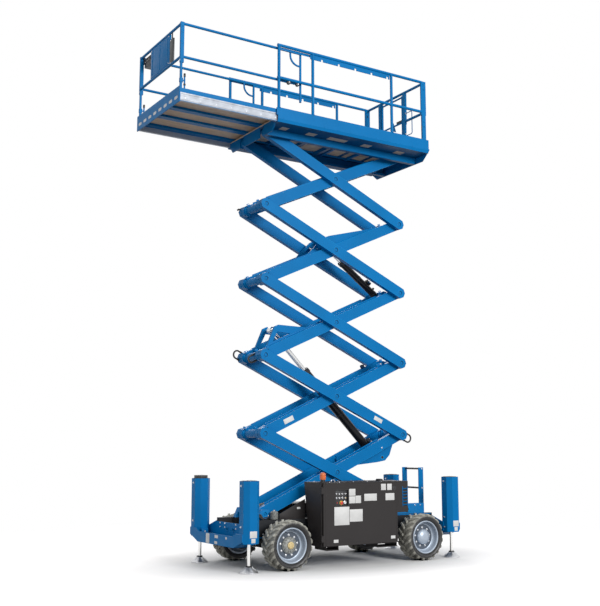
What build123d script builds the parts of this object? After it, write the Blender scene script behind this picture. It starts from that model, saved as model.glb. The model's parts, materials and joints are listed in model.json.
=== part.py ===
from build123d import *
import math
import os

os.makedirs("parts", exist_ok=True)

# Rough-terrain scissor lift. Millimetres. +X is the steering end, +Y the machine's left side, +Z up.
# The origin is on the ground, midway between the axles.

FIT = 0.05  # radial clearance of a pin in its bore, and of a tyre on its rim

# ------------------------------------------------------------------ wheels and axles
WHEELBASE = 2290.0
AXLE_X = WHEELBASE / 2
TYRE_R = 330.0  # out to the lugs' tips
TYRE_W = 300.0
WHEEL_Y = 725.0  # middle of the tyre
RIM_R = 225.0  # where the tyre sits
RIM_WALL = 12.0
RIM_W = 240.0
LUGS = 20  # on each half of a tyre
LUG_H = 24.0
LUG_W = 40.0
LUG_SWEEP = 34.0  # how far a lug's shoulder end leads its middle end
LUG_REACH = (LUG_W + LUG_SWEEP) / 2  # from a lug's centre line to its corners
LUG_MIDDLE = 12.0  # where a lug starts, from the tyre's middle
LUG_SINK = 8.0  # how deep its root is in the carcass
CARCASS_SIDES = 24
SEAT_CORNER = (RIM_R + FIT) / math.cos(math.pi / CARCASS_SIDES)
DISC_Y = 30.0  # disc's offset from the middle of the tyre, outward
DISC_T = 12.0
HUB_R = 78.0
HUB_BORE_R = 40.0
STEER_Y = 560.0  # kingpin
AXLE_R = 58.0
DIFF_R = 92.0
STEER_ARM = 150.0
TIE_R = 15.0
TIE_Z = 275.0
TIE_SWING = 15.0  # how far the arm's pin comes towards the axle at full lock
TIE_PIN_R = 8.0
KINGPIN_R = 19.0

# ------------------------------------------------------------------ scissor stack
STAGES = 5
REST_ANGLE = math.radians(24.34)
PIN_TO_PIN = 2655.0
FRONT_X = 1267.0
PIVOT_Z = 718.0
ARM_DEPTH = 160.0
ARM_T = 74.0
ARM_END = 82.0  # how far a bar reaches past its end pin
INNER_Y = 190.0  # inner face of the inner bars
ARM_GAP = 6.0
PIN_R = 27.5
TUBE_R = 58.0
SLIM_TUBE_R = 50.0  # last cross tube, under the deck
PLATE_T = 34.0
PLATE_Y = 184.0
BOSS_R = 46.0

COS = math.cos(REST_ANGLE)
SIN = math.sin(REST_ANGLE)
STAGE_H = PIN_TO_PIN * SIN
REAR_X = FRONT_X - PIN_TO_PIN * COS
INNER_OUT = INNER_Y + ARM_T
OUTER_Y = INNER_OUT + ARM_GAP
OUTER_OUT = OUTER_Y + ARM_T
TOP_Z = PIVOT_Z + STAGES * STAGE_H

# ------------------------------------------------------------------ lift cylinders
# name, then stage, along and up of the base, stage, along and up of the eye,
# barrel length, barrel r, rod length, rod r
LIFT_CYLINDERS = [
    ("lower", 1, 2262.0, -197.0, 3, 426.0, 250.0, 1810.0, 63.0, 1880.0, 36.0),
    ("upper", 3, 2435.0, 60.0, 4, 1345.0, 190.0, 830.0, 52.0, 845.0, 28.0),
]
CYL_PIN_R = 22.0
CYL_WALL = 10.0
PORT_R = 17.0
PORT_H = 30.0
EYE_W = 70.0

# ------------------------------------------------------------------ chassis
RAIL_IN = 356.0
RAIL_OUT = 426.0
RAIL_BOTTOM = 400.0
RAIL_TOP = 640.0
LUG_T = ARM_T
LUG_HALF = 125.0  # half length of the ear that carries the front pin
LUG_CROWN = 62.0  # half length of its top
ROLLER_R = 48.0
ROLLER_IN = OUTER_OUT + 7.0
ROLLER_OUT = 404.0
TRACK_T = 15.0
CROSS_BOTTOM = 420.0
CROSS_TOP = 560.0

# ------------------------------------------------------------------ side trays
TRAY_IN = 406.0  # inner edge at the top
TRAY_IN_LOW = 543.0  # inner edge at the bottom
TRAY_OUT = 840.0
TRAY_FRONT = 670.0
TRAY_REAR = -640.0
TRAY_BOTTOM = 285.0
TRAY_TOP = 1140.0
ENGINE_TRAY_TOP = 790.0  # the right tray is lower and has no tail
TRAY_WALL = 12.0
TAIL_REAR = -835.0
TAIL_BOTTOM = 700.0
DOOR_T = 30.0
DOOR_GAP = 5.0
DOOR_REAR = -600.0
HINGE_R = 9.0
HINGE_PIN_R = 5.0
HINGE_HALF = 40.0
HINGE_X = TRAY_FRONT + 10.0
HINGE_Y = TRAY_OUT + 28.0
HINGE_END = 105.0  # from the tray's bottom and top to the hinges' middles

POCKETS = [(-618.0, -274.0), (387.0, 597.0)]  # x0, x1 of each
POCKET_H = 52.0
POCKET_WALL = 6.0
LOUVRES = 6
CONTROL_DEPTH = 22.0

# ------------------------------------------------------------------ outriggers and bumpers
LEG_FRONT_X = 1724.0
LEG_REAR_X = -1741.0
LEG_Y = 718.0
COLUMN_W = 236.0
COLUMN_CHAMFER = 62.0
COLUMN_WALL = 10.0
COLUMN_BOTTOM = 375.0
COLUMN_TOP = 1180.0
COLLAR_T = 50.0
LEG_R = 23.0
LEG_TOP = 860.0
PAD_R = 125.0
PAD_H = 92.0
PAD_RIBS = 10
PAD_RIB_T = 8.0
CAP_T = 10.0  # lid in the column's top
CAP_DEPTH = 14.0  # how far down it sits
FRAME_FRONT = LEG_FRONT_X - COLUMN_W / 2
FRAME_REAR = LEG_REAR_X + COLUMN_W / 2
SKIN_T = 14.0
SKIN_LOW = 310.0
SKIN_TOP = 455.0
SKIN_RISE = 45.0  # how much higher its top is at the columns
SKIN_LIFT = 65.0  # how much higher its foot is under the columns
WEB_T = 12.0
WEB_TOP = 600.0
TIE_HOLE_R = 20.0
TIE_HOLE_Y = 90.0
TIE_HOLE_Z = 500.0

# ------------------------------------------------------------------ platform
DECK_FRONT = 1330.0
DECK_REAR = -1430.0
DECK_HALF = 765.0
TOE_T = 10.0
TOE_BOTTOM = TOP_Z + 46.0
TOE_TOP = TOP_Z + 210.0
FLOOR_Z = TOP_Z + 66.0
FLOOR_T = 18.0
FLOOR_HALF = DECK_HALF - 83.0
SILL_FRONT = DECK_REAR + 84.0  # the floor starts in front of the gate's sill
TRACK_BOTTOM = TOP_Z - 92.0
RAIL_R = 22.0
POST_R = 22.0
SKIRT_Z = TOP_Z + 2.0  # underside of the outboard floor plate
SKIRT_T = 6.0
SKIRT_IN = 24.0  # how far its edge sits inside the toe board
FASCIA_T = 12.0
FASCIA_FLAT = 600.0  # half width of a fascia's foot
TOP_RAIL_Z = TOE_TOP + 945.0
MID_RAIL_Z = TOP_Z + 665.0
RAIL_Y = DECK_HALF - 22.0

# ------------------------------------------------------------------ extension deck
EXT_FRONT = 2848.0
EXT_REAR = 1000.0
EXT_HALF = DECK_HALF - 34.0
EXT_FLOOR_Z = TOP_Z + 122.0
EXT_RAIL_TOP = TOP_Z + 1125.0
EXT_RAIL_Y = EXT_HALF - 37.0
EXT_POST_IN = EXT_HALF - 51.0
EXT_POST_X = 916.0
EXT_BEAM_LOW = TOP_Z + 16.0
SLIDE_GAP = 0.3
EXT_BEAM_IN = EXT_HALF - 39.0  # inner face of the side beams
EXT_BEAM_OUT = EXT_HALF - 2.0
EXT_JOIST_Y = 200.0
PANEL_HOLES = 8  # lightening holes in the front panel
EXT_JOIST_W = 100.0
PANEL_HOLE_R = 19.0
PANEL_HOLE_RUN = 44.0  # between the middles of a slot's round ends
BEAM_GROOVE = 5.0
STUB_R = 11.0  # short uprights behind the front posts
BRACE_R = 14.0
BRACE_BEND = 140.0
BRACE_DROP = 195.0  # from the rail down to where the brace meets the upright
BRACE_RUN = 172.0
BOX_Y0 = -320.0  # document box in the front rail
BOX_Y1 = 330.0
GUARD_R = 10.0
GUARD_BEND = 26.0


# ------------------------------------------------------------------ shapes
def box(x0, x1, y0, y1, z0, z1):
    """Box from its limits."""
    middle = ((x0 + x1) / 2, (y0 + y1) / 2, (z0 + z1) / 2)
    return Pos(*middle) * Box(abs(x1 - x0), abs(y1 - y0), abs(z1 - z0))


def rod(start, end, radius):
    """Round bar from one point to another."""
    start, end = Vector(*start), Vector(*end)
    run = end - start
    return Solid.make_cylinder(radius, run.length, Plane(origin=start, z_dir=run))


def prism(points, run):
    """Flat outline, given in space, pushed along a direction."""
    wire = Wire.make_polygon([Vector(*p) for p in points], close=True)
    return Solid.extrude(Face(wire), Vector(*run))


def plate_xz(points, y0, y1):
    """Outline of (x, z) points between two y."""
    return prism([(x, y0, z) for x, z in points], (0, y1 - y0, 0))


def plate_yz(points, x0, x1):
    """Outline of (y, z) points between two x."""
    return prism([(x0, y, z) for y, z in points], (x1 - x0, 0, 0))


def plate_xy(points, z0, z1):
    """Outline of (x, y) points between two z."""
    return prism([(x, y, z0) for x, y in points], (0, 0, z1 - z0))


def across(x, z, y0, y1, radius):
    """Round bar along Y."""
    return rod((x, y0, z), (x, y1, z), radius)


def upright(x, y, z0, z1, radius):
    """Round bar along Z."""
    return rod((x, y, z0), (x, y, z1), radius)


def other_side(shape):
    """The same shape on the machine's other side."""
    return mirror(shape, about=Plane.XZ)


def fused(shapes):
    """One body from several that touch."""
    whole = shapes[0]
    for shape in shapes[1:]:
        whole = whole + shape
    return whole


def turned(profile, x, y, z, side):
    """Ring about a Y axis from (radius, outward) points; side is +1 left or -1 right."""
    points = [Vector(x + r, y + side * out, z) for r, out in profile]
    face = Face(Wire.make_polygon(points, close=True))
    return revolve(face, axis=Axis((x, y, z), (0, 1, 0)), revolution_arc=360)


def bent_tube(points, radius, bend):
    """Round bar along straight runs with round bends."""
    path = FilletPolyline(*points, radius=bend)
    section = Plane(origin=path @ 0, z_dir=path % 0) * Circle(radius)
    return sweep(section, path=path)


def save(name, shapes):
    """Write one node."""
    solids = []
    for shape in shapes:
        solids.extend(shape.solids())
    whole = solids[0] if len(solids) == 1 else Compound(solids)
    export_step(whole, f"parts/{name}.step")


def inner_point(stage, along, up):
    """(x, z) on an inner arm: along from its front lower pin, up square to it."""
    x = FRONT_X - along * COS + up * SIN
    z = PIVOT_Z + (stage - 1) * STAGE_H + along * SIN + up * COS
    return x, z


def outer_point(stage, along, up):
    """(x, z) on an outer arm: along from its rear lower pin, up square to it."""
    x = REAR_X + along * COS - up * SIN
    z = PIVOT_Z + (stage - 1) * STAGE_H + along * SIN + up * COS
    return x, z


# ------------------------------------------------------------------ scissor arms
BAR_CUT = 46.0
SLIM_END = 45.0
SLIM_CUT = 25.0
SLIM_TAPER = 330.0
LOOP_R = 8.0
LOOP_ROOT = 28.0  # how far from the pin a loop starts
LOOP_STAGE = 2  # the joint above this stage carries the loops


def bar_outline(point, stage):
    """Side outline of a bar with its corners cut, and a slim top end under the platform."""
    half = ARM_DEPTH / 2
    low, high = -ARM_END, PIN_TO_PIN + ARM_END
    # along, up
    foot = [
        (low + BAR_CUT, half),
        (low, half - BAR_CUT),
        (low, -half + BAR_CUT),
        (low + BAR_CUT, -half),
    ]
    head = [
        (high - BAR_CUT, -half),
        (high, -half + BAR_CUT),
        (high, half - BAR_CUT),
        (high - BAR_CUT, half),
    ]
    slim_head = [
        (PIN_TO_PIN + SLIM_CUT, -half),
        (PIN_TO_PIN + SLIM_END, -SLIM_CUT),
        (PIN_TO_PIN + SLIM_END, SLIM_CUT),
        (PIN_TO_PIN + SLIM_CUT, SLIM_END),
        (PIN_TO_PIN - SLIM_TAPER, half),
    ]
    corners = foot + (slim_head if stage == STAGES else head)
    return [point(stage, along, up) for along, up in corners]


def bracket(stage, outline, pin, window):
    """Two cylinder plates just inside the inner bars, with a pin across them for a cylinder's base."""
    plate_in = PLATE_Y - PLATE_T
    corners = [inner_point(stage, along, up) for along, up in outline]
    plate = plate_xz(corners, plate_in, PLATE_Y)
    if window:
        opening = [inner_point(stage, along, up) for along, up in window]
        plate = plate - plate_xz(opening, plate_in - 1, PLATE_Y + 1)
    half = ARM_DEPTH / 2 - 8
    alongs = [along for along, up in outline]
    pad_low, pad_high = min(alongs) + 30, max(alongs) - 30
    pad_corners = [(pad_low, -half + 20), (pad_high, -half + 20), (pad_high, half), (pad_low, half)]
    pad = plate_xz([inner_point(stage, a, u) for a, u in pad_corners], PLATE_Y - 10, INNER_Y)
    side = fused([plate, pad])
    pieces = [side, other_side(side)]
    if pin:
        x, z = inner_point(stage, *pin)
        pieces.append(across(x, z, -plate_in - 5, plate_in + 5, CYL_PIN_R))
    return pieces


LOW_BASE = [(1690, -70), (2150, -225), (2290, -262), (2400, -225), (2560, -70), (2560, 40), (1690, 40)]
LOW_EYE = [(130, -40), (130, 60), (395, 300), (465, 300), (930, 80), (930, -40)]
HIGH_BASE = [(2330, -40), (2330, 70), (2400, 112), (2480, 112), (2560, 60), (2560, -40)]
HIGH_EYE = [(900, -40), (900, 80), (1270, 228), (1400, 232), (2300, 80), (2300, -40)]
# by stage: the plate's corners, its pin and its window's corners, all as (along, up) on the inner arm
BRACKETS = {
    1: [(LOW_BASE, (2262.0, -197.0), [])],
    3: [
        (LOW_EYE, None, [(280, 112), (405, 215), (600, 112)]),
        (HIGH_BASE, (2435.0, 60.0), []),
    ],
    4: [(HIGH_EYE, None, [(1080, 108), (1235, 168), (1300, 108)])],
}


def line_loop(point, stage, y, pin, reach, half):
    """Hydraulic line looped out of a bar's end, both its ends held there."""
    away = -1 if pin < PIN_TO_PIN / 2 else 1
    path = []
    for out, up in ((LOOP_ROOT, half), (reach, half), (reach, -half), (LOOP_ROOT, -half)):
        x, z = point(stage, pin + away * out, up)
        path.append((x, y, z))
    return bent_tube(path, LOOP_R, half * 0.95)


def inner_arm(stage):
    """Pair of inner bars, with their cross tubes, pins and cylinder plates."""
    x0, z0 = inner_point(stage, 0, 0)
    xc, zc = inner_point(stage, PIN_TO_PIN / 2, 0)
    x1, z1 = inner_point(stage, PIN_TO_PIN, 0)
    bar = plate_xz(bar_outline(inner_point, stage), INNER_Y, INNER_OUT)
    pin_end = OUTER_OUT - 8
    rear_end = ROLLER_OUT if stage == STAGES else pin_end
    pins = [
        across(x0, z0, INNER_OUT - 5, pin_end, PIN_R),
        across(xc, zc, INNER_OUT - 5, pin_end, PIN_R),
        across(x1, z1, INNER_OUT - 5, rear_end, PIN_R),
    ]
    if stage == STAGES:
        pins.append(across(x1, z1, ROLLER_IN, ROLLER_OUT, ROLLER_R))
    side = fused([bar] + pins)
    top_tube_r = SLIM_TUBE_R if stage == STAGES else TUBE_R
    tubes = [
        across(x0, z0, -INNER_Y - 5, INNER_Y + 5, TUBE_R),
        across(x1, z1, -INNER_Y - 5, INNER_Y + 5, top_tube_r),
    ]
    pieces = [side, other_side(side)] + tubes
    for outline, pin, window in BRACKETS.get(stage, []):
        pieces.extend(bracket(stage, outline, pin, window))
    if stage == LOOP_STAGE + 1:
        pieces.append(line_loop(inner_point, stage, PLATE_Y - PLATE_T - 30, 0, 165, 46))
    return [fused(pieces)]


def outer_arm(stage):
    """Pair of outer bars with bores for the inner arms' pins."""
    bar = plate_xz(bar_outline(outer_point, stage), OUTER_Y, OUTER_OUT)
    x0, z0 = outer_point(stage, 0, 0)
    xc, zc = outer_point(stage, PIN_TO_PIN / 2, 0)
    x1, z1 = outer_point(stage, PIN_TO_PIN, 0)
    bores = [(xc, zc)]
    if stage > 1:
        bores.append((x0, z0))
    if stage < STAGES:
        bores.append((x1, z1))
    for x, z in bores:
        bar = bar - across(x, z, OUTER_Y - 1, OUTER_OUT + 1, PIN_R + FIT)
    if stage == 1:
        pin = across(x0, z0, OUTER_OUT - 5, ROLLER_OUT, PIN_R)
        bar = fused([bar, pin, across(x0, z0, ROLLER_IN, ROLLER_OUT, ROLLER_R)])
    if stage == STAGES:
        bar = bar + across(x1, z1, OUTER_OUT - 5, RAIL_OUT - 6, PIN_R)
    bars = [bar, other_side(bar)]
    if stage == LOOP_STAGE:
        middle = (OUTER_Y + OUTER_OUT) / 2
        bars[0] = bars[0] + line_loop(outer_point, stage, middle, 0, 190, 58)
        bars[1] = bars[1] + line_loop(outer_point, stage, -middle, PIN_TO_PIN, 175, 58)
    return bars


def lift_cylinder(row):
    """Barrel with its base eye, and rod with its end eye."""
    name, base_stage, base_along, base_up = row[:4]
    eye_stage, eye_along, eye_up, barrel_l, barrel_r, rod_l, rod_r = row[4:]
    bx, bz = inner_point(base_stage, base_along, base_up)
    ex, ez = inner_point(eye_stage, eye_along, eye_up)
    base, eye = Vector(bx, 0, bz), Vector(ex, 0, ez)
    run = (eye - base).normalized()
    half = EYE_W / 2
    bore = CYL_PIN_R + FIT
    shell = rod(base + run * BOSS_R * 0.6, base + run * barrel_l, barrel_r)
    shell = shell - rod(base + run * (BOSS_R + 24), base + run * (barrel_l - 60), barrel_r - CYL_WALL)
    shell = shell - rod(base + run * BOSS_R * 2, base + run * (barrel_l + 5), rod_r + FIT)
    block = base + run * (BOSS_R * 2 + 20)
    port = block + Vector(-run.Z, 0, run.X) * (barrel_r + PORT_H)
    manifold = rod(block + Vector(-run.Z, 0, run.X) * (barrel_r - 6), port, PORT_R)
    barrel = fused([shell, across(bx, bz, -half, half, BOSS_R), manifold])
    barrel = barrel - across(bx, bz, -half - 1, half + 1, bore)
    stem = rod(eye - run * rod_l, eye - run * BOSS_R * 0.5, rod_r)
    pin_half = PLATE_Y - PLATE_T - 2
    ram = fused([stem, across(ex, ez, -half, half, BOSS_R), across(ex, ez, -pin_half, pin_half, CYL_PIN_R)])
    save(f"{name}_cylinder_barrel", [barrel])
    save(f"{name}_cylinder_rod", [ram])


def scissor():
    """The whole stack."""
    for stage in range(1, STAGES + 1):
        save(f"inner_arm_{stage}", inner_arm(stage))
        save(f"outer_arm_{stage}", outer_arm(stage))
    for row in LIFT_CYLINDERS:
        lift_cylinder(row)


# ------------------------------------------------------------------ wheels, axles, steering
# radius, outward: once around the tyre's section, starting and ending at the rim
CARCASS_STATIONS = [
    (SEAT_CORNER, -TYRE_W * 0.40),
    (TYRE_R * 0.85, -TYRE_W * 0.50),
    (TYRE_R - LUG_H, -TYRE_W * 0.42),
    (TYRE_R - LUG_H, TYRE_W * 0.42),
    (TYRE_R * 0.85, TYRE_W * 0.50),
    (SEAT_CORNER, TYRE_W * 0.40),
]


def ring(radius, y):
    """Corners of a regular polygon about the wheel's own axis."""
    turn = 2 * math.pi / CARCASS_SIDES
    return [Vector(radius * math.cos(n * turn), y, radius * math.sin(n * turn)) for n in range(CARCASS_SIDES)]


def carcass():
    """Hollow ring of flat facets, through the stations and back along the rim's seat."""
    rings = [ring(radius, out) for radius, out in CARCASS_STATIONS]
    facets = []
    for here, there in zip(rings, rings[1:] + rings[:1]):
        for n in range(CARCASS_SIDES):
            corners = [here[n - 1], here[n], there[n], there[n - 1]]
            facets.append(Face(Wire.make_polygon(corners, close=True)))
    return Solid(Shell(facets))


def lug(side):
    """Slanting bar at the wheel's top, from near the tread's middle down over the shoulder."""
    crown = math.sqrt(TYRE_R**2 - LUG_REACH**2)
    root = TYRE_R - LUG_H - LUG_SINK
    low, high = LUG_MIDDLE, TYRE_W * 0.43
    # outward, height
    section = [
        (low, root),
        (low, crown),
        (high, crown),
        (TYRE_W * 0.49, TYRE_R * 0.86),
        (TYRE_W * 0.44, root - LUG_SINK),
    ]
    face = []
    for out, z in section:
        lead = LUG_SWEEP * (0.5 - (out - low) / (high - low))
        face.append((lead - LUG_W / 2, side * out, z))
    return prism(face, (LUG_W, 0, 0))


def tyre():
    """Faceted tyre about its own middle, with a row of lugs on each half."""
    pitch = 360 / LUGS
    stance = math.degrees(math.asin(LUG_REACH / TYRE_R))  # sets a corner of a lug on the ground
    bars = []
    for n in range(LUGS):
        bars.append(Rot(0, n * pitch + stance, 0) * lug(1))
        bars.append(Rot(0, (n + 0.5) * pitch + stance, 0) * lug(-1))
    return carcass().fuse(*bars)


def rim_profile():
    """Deep rim with its disc, as (radius, outward) points."""
    half = RIM_W / 2
    inner = RIM_R - RIM_WALL
    return [
        (HUB_BORE_R + FIT, DISC_Y),
        (HUB_BORE_R + FIT, DISC_Y + DISC_T),
        (inner - 40, DISC_Y + DISC_T),
        (inner, DISC_Y + DISC_T + 30),
        (inner, half),
        (RIM_R, half),
        (RIM_R, -half),
        (inner, -half),
        (inner, DISC_Y),
    ]


# name, x, side
WHEELS = [
    ("front_left", AXLE_X, 1),
    ("front_right", AXLE_X, -1),
    ("rear_left", -AXLE_X, 1),
    ("rear_right", -AXLE_X, -1),
]


def wheels():
    """Tyres and rims."""
    shape = tyre()
    for name, x, side in WHEELS:
        y = side * WHEEL_Y
        save(f"tyre_{name}", [Pos(x, y, TYRE_R) * shape])
        save(f"rim_{name}", [turned(rim_profile(), x, y, TYRE_R, side)])


def hub(x, side):
    """Wheel motor drum behind the disc, spindle through it and cap outside it."""
    disc_in = WHEEL_Y + DISC_Y
    disc_out = disc_in + DISC_T
    pieces = [
        across(x, TYRE_R, side * (STEER_Y + 55), side * (disc_in - 3), 112.0),
        across(x, TYRE_R, side * (disc_in - 4), side * (disc_out + 4), HUB_BORE_R),
        across(x, TYRE_R, side * (disc_out + 3), side * (disc_out + 40), HUB_R),
        across(x, TYRE_R, side * (disc_out + 39), side * (disc_out + 56), HUB_R * 0.6),
    ]
    return fused(pieces)


def front_axle():
    """Beam with a yoke for the kingpin at each end and the steering cylinder behind it."""
    yoke_in, yoke_out = STEER_Y - 90, STEER_Y + 34
    ear_low, ear_high = 120.0, 146.0
    tie_x = AXLE_X - STEER_ARM
    beam = box(AXLE_X - AXLE_R, AXLE_X + AXLE_R, -yoke_in - 5, yoke_in + 5, TYRE_R - AXLE_R, TYRE_R + AXLE_R)
    pieces = [beam, across(AXLE_X, TYRE_R, -110, 110, DIFF_R)]
    for side in (1, -1):
        back_y = (side * yoke_in, side * (yoke_in + 28))
        pieces.append(box(AXLE_X - 50, AXLE_X + 50, *back_y, TYRE_R - ear_high, TYRE_R + ear_high))
        for low, high in ((-ear_high, -ear_low), (ear_low, ear_high)):
            ear = box(AXLE_X - 50, AXLE_X + 50, side * yoke_in, side * yoke_out, TYRE_R + low, TYRE_R + high)
            pieces.append(ear)
    for y in (-300, 300):
        pieces.append(box(AXLE_X - 70, AXLE_X + 70, y - 45, y + 45, TYRE_R + AXLE_R - 5, RAIL_BOTTOM + 20))
    for y in (-130, 130):
        pieces.append(box(tie_x - 10, AXLE_X - AXLE_R + 5, y - 14, y + 14, TIE_Z + 5, TIE_Z + 45))
    pieces.append(across(tie_x, TIE_Z, -190, 190, 2 * TIE_R))
    axle = fused(pieces) - across(tie_x, TIE_Z, -200, 200, TIE_R + FIT)
    for side in (1, -1):
        axle = axle - upright(AXLE_X, side * STEER_Y, TYRE_R - 150, TYRE_R + 150, KINGPIN_R + FIT)
    return [axle]


def knuckle(side):
    """Steering knuckle with its kingpin, arm and wheel hub."""
    y = side * STEER_Y
    tie_x = AXLE_X - STEER_ARM
    pieces = [
        upright(AXLE_X, y, TYRE_R - 144, TYRE_R + 144, KINGPIN_R),
        box(AXLE_X - 42, AXLE_X + 42, y - side * 36, y + side * 60, TYRE_R - 100, TYRE_R + 100),
        box(tie_x - 24, AXLE_X - 30, y - 20, y + 20, TYRE_R - 20, TYRE_R + 20),
        upright(tie_x, y, TIE_Z - 16, TYRE_R, TIE_PIN_R),
        hub(AXLE_X, side),
    ]
    return [fused(pieces)]


def tie_rod():
    """Steering rod through its cylinder, with a slotted end under each knuckle's arm."""
    x = AXLE_X - STEER_ARM
    end = STEER_Y - 34
    pieces = [across(x, TIE_Z, -end - 4, end + 4, TIE_R)]
    for side in (1, -1):
        y = side * STEER_Y
        plate = box(x - 26, x + TIE_SWING + 28, y - 38, y + 38, TIE_Z - 9, TIE_Z + 9)
        slot_x = (x - TIE_PIN_R - 3, x + TIE_SWING + TIE_PIN_R + 3)
        slot = box(*slot_x, y - TIE_PIN_R - 2, y + TIE_PIN_R + 2, TIE_Z - 40, TIE_Z + 40)
        pieces.append(plate - slot)
    return [fused(pieces)]


def rear_axle():
    """Rigid beam with both hubs."""
    beam = box(
        -AXLE_X - AXLE_R, -AXLE_X + AXLE_R, -STEER_Y - 60, STEER_Y + 60, TYRE_R - AXLE_R, TYRE_R + AXLE_R
    )
    pieces = [beam, across(-AXLE_X, TYRE_R, -110, 110, DIFF_R), hub(-AXLE_X, 1), hub(-AXLE_X, -1)]
    for y in (-300, 300):
        pieces.append(box(-AXLE_X - 70, -AXLE_X + 70, y - 45, y + 45, TYRE_R + AXLE_R - 5, RAIL_BOTTOM + 20))
    return [fused(pieces)]


# ------------------------------------------------------------------ chassis
# x0, x1 of the frame's cross members
CROSS_MEMBERS = [
    (FRAME_REAR + 20, FRAME_REAR + 130),
    (-820.0, -740.0),
    (-60.0, 60.0),
    (640.0, 720.0),
    (FRONT_X - 87, FRONT_X + 89),
    (FRAME_FRONT - 110, FRAME_FRONT - 20),
]


def chassis_frame():
    """Side rails, cross members, front lugs and the rear roller tracks."""
    track_top = PIVOT_Z + ROLLER_R + 6
    roller_floor = PIVOT_Z - ROLLER_R - 6
    side = [box(FRAME_REAR, FRAME_FRONT, RAIL_IN, RAIL_OUT, RAIL_BOTTOM, RAIL_TOP)]
    side.append(box(REAR_X - 320, 60, RAIL_IN, RAIL_OUT, RAIL_TOP - 5, roller_floor))
    side.append(box(REAR_X - 320, 60, RAIL_OUT - 14, RAIL_OUT, roller_floor - 5, track_top + TRACK_T))
    side.append(box(REAR_X - 320, 60, RAIL_IN, RAIL_OUT, track_top, track_top + TRACK_T))
    ear = [(LUG_HALF, CROSS_BOTTOM), (LUG_HALF, RAIL_TOP), (LUG_CROWN, PIVOT_Z + BOSS_R + 12)]
    lug_outline = [(FRONT_X + x, z) for x, z in ear] + [(FRONT_X - x, z) for x, z in reversed(ear)]
    lug = plate_xz(lug_outline, OUTER_Y, OUTER_Y + LUG_T)
    lug = lug - across(FRONT_X, PIVOT_Z, OUTER_Y - 1, OUTER_Y + LUG_T + 1, PIN_R + FIT)
    side.append(lug)
    half = fused(side)
    pieces = [half, other_side(half)]
    for x0, x1 in CROSS_MEMBERS:
        pieces.append(box(x0, x1, -RAIL_IN - 5, RAIL_IN + 5, CROSS_BOTTOM, CROSS_TOP))
    for x in (AXLE_X, -AXLE_X):
        for y in (-300, 300):
            pieces.append(box(x - 90, x + 90, y - 70, y + 70, RAIL_BOTTOM + 20, CROSS_BOTTOM + 40))
    whole = fused(pieces)
    return [whole]


def column(x, side):
    """Eight-sided outrigger column, open at its top, with the rod's collar in its foot."""
    y = side * LEG_Y
    half = COLUMN_W / 2

    def outline(h, c):
        return [
            (x - h, y - h + c), (x - h + c, y - h), (x + h - c, y - h), (x + h, y - h + c),
            (x + h, y + h - c), (x + h - c, y + h), (x - h + c, y + h), (x - h, y + h - c),
        ]

    outer = plate_xy(outline(half, COLUMN_CHAMFER), COLUMN_BOTTOM, COLUMN_TOP)
    inner = outline(half - COLUMN_WALL, COLUMN_CHAMFER - 4)
    inside = plate_xy(inner, COLUMN_BOTTOM + COLLAR_T, COLUMN_TOP + 1)
    bore = upright(x, y, COLUMN_BOTTOM - 1, COLUMN_BOTTOM + COLLAR_T + 1, LEG_R + FIT)
    lid_top = COLUMN_TOP - CAP_DEPTH
    lid = plate_xy(outline(half - COLUMN_WALL + 1, COLUMN_CHAMFER - 4), lid_top - CAP_T, lid_top)
    return (outer - inside - bore) + lid


def columns(x):
    """Both columns at one end."""
    return [column(x, 1), column(x, -1)]


def bumper(x_column):
    """Dished beam between the two columns, with the plate that closes the frame's end."""
    away = 1 if x_column > 0 else -1
    frame_x = x_column - away * COLUMN_W / 2
    face_x = x_column + away * COLUMN_W / 2
    column_in = LEG_Y - COLUMN_W / 2
    flat_end = LEG_Y + COLUMN_W / 2 - COLUMN_CHAMFER
    floor_y = column_in - 70
    # y, z
    skin_half = [
        (0, SKIN_LOW),
        (floor_y, SKIN_LOW),
        (LEG_Y - 20, SKIN_LOW + SKIN_LIFT),
        (flat_end, SKIN_LOW + SKIN_LIFT + 25),
        (flat_end, SKIN_TOP + SKIN_RISE),
        (column_in, SKIN_TOP + SKIN_RISE),
        (column_in - 110, SKIN_TOP),
        (0, SKIN_TOP),
    ]
    gusset = [
        (RAIL_OUT, SKIN_LOW),
        (floor_y, SKIN_LOW),
        (column_in + 60, SKIN_LOW + SKIN_LIFT - 10),
        (LEG_Y - 18, SKIN_LOW + SKIN_LIFT + 20),
        (LEG_Y - 18, SKIN_TOP + SKIN_RISE + 15),
        (RAIL_OUT + 10, WEB_TOP),
        (RAIL_OUT, WEB_TOP),
    ]
    slope = [
        (floor_y - 1, SKIN_LOW),
        (column_in + 60, SKIN_LOW + SKIN_LIFT - 18),
        (column_in + 60, SKIN_LOW + SKIN_LIFT - 8),
        (floor_y - 1, SKIN_LOW + 10),
    ]
    rib_half = COLUMN_W / 2 - COLUMN_CHAMFER
    rib_top = SKIN_TOP + SKIN_RISE
    half = fused([
        plate_yz(skin_half, face_x, face_x + away * SKIN_T),
        box(frame_x, face_x + away, -1, floor_y, SKIN_LOW, SKIN_LOW + 10),
        plate_yz(slope, frame_x - away, face_x + away),
        plate_yz(gusset, frame_x - away * WEB_T, frame_x),
        box(x_column - rib_half, x_column + rib_half, column_in - WEB_T, column_in, SKIN_LOW + 30, rib_top),
        box(frame_x, frame_x + away * WEB_T, -1, RAIL_OUT + 14, SKIN_LOW, WEB_TOP - 10),
    ])
    eye = [(frame_x + dx, TIE_HOLE_Y, TIE_HOLE_Z) for dx in (-50, 50)]
    half = half - rod(*eye, TIE_HOLE_R)
    return [fused([half, other_side(half)])]


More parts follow.
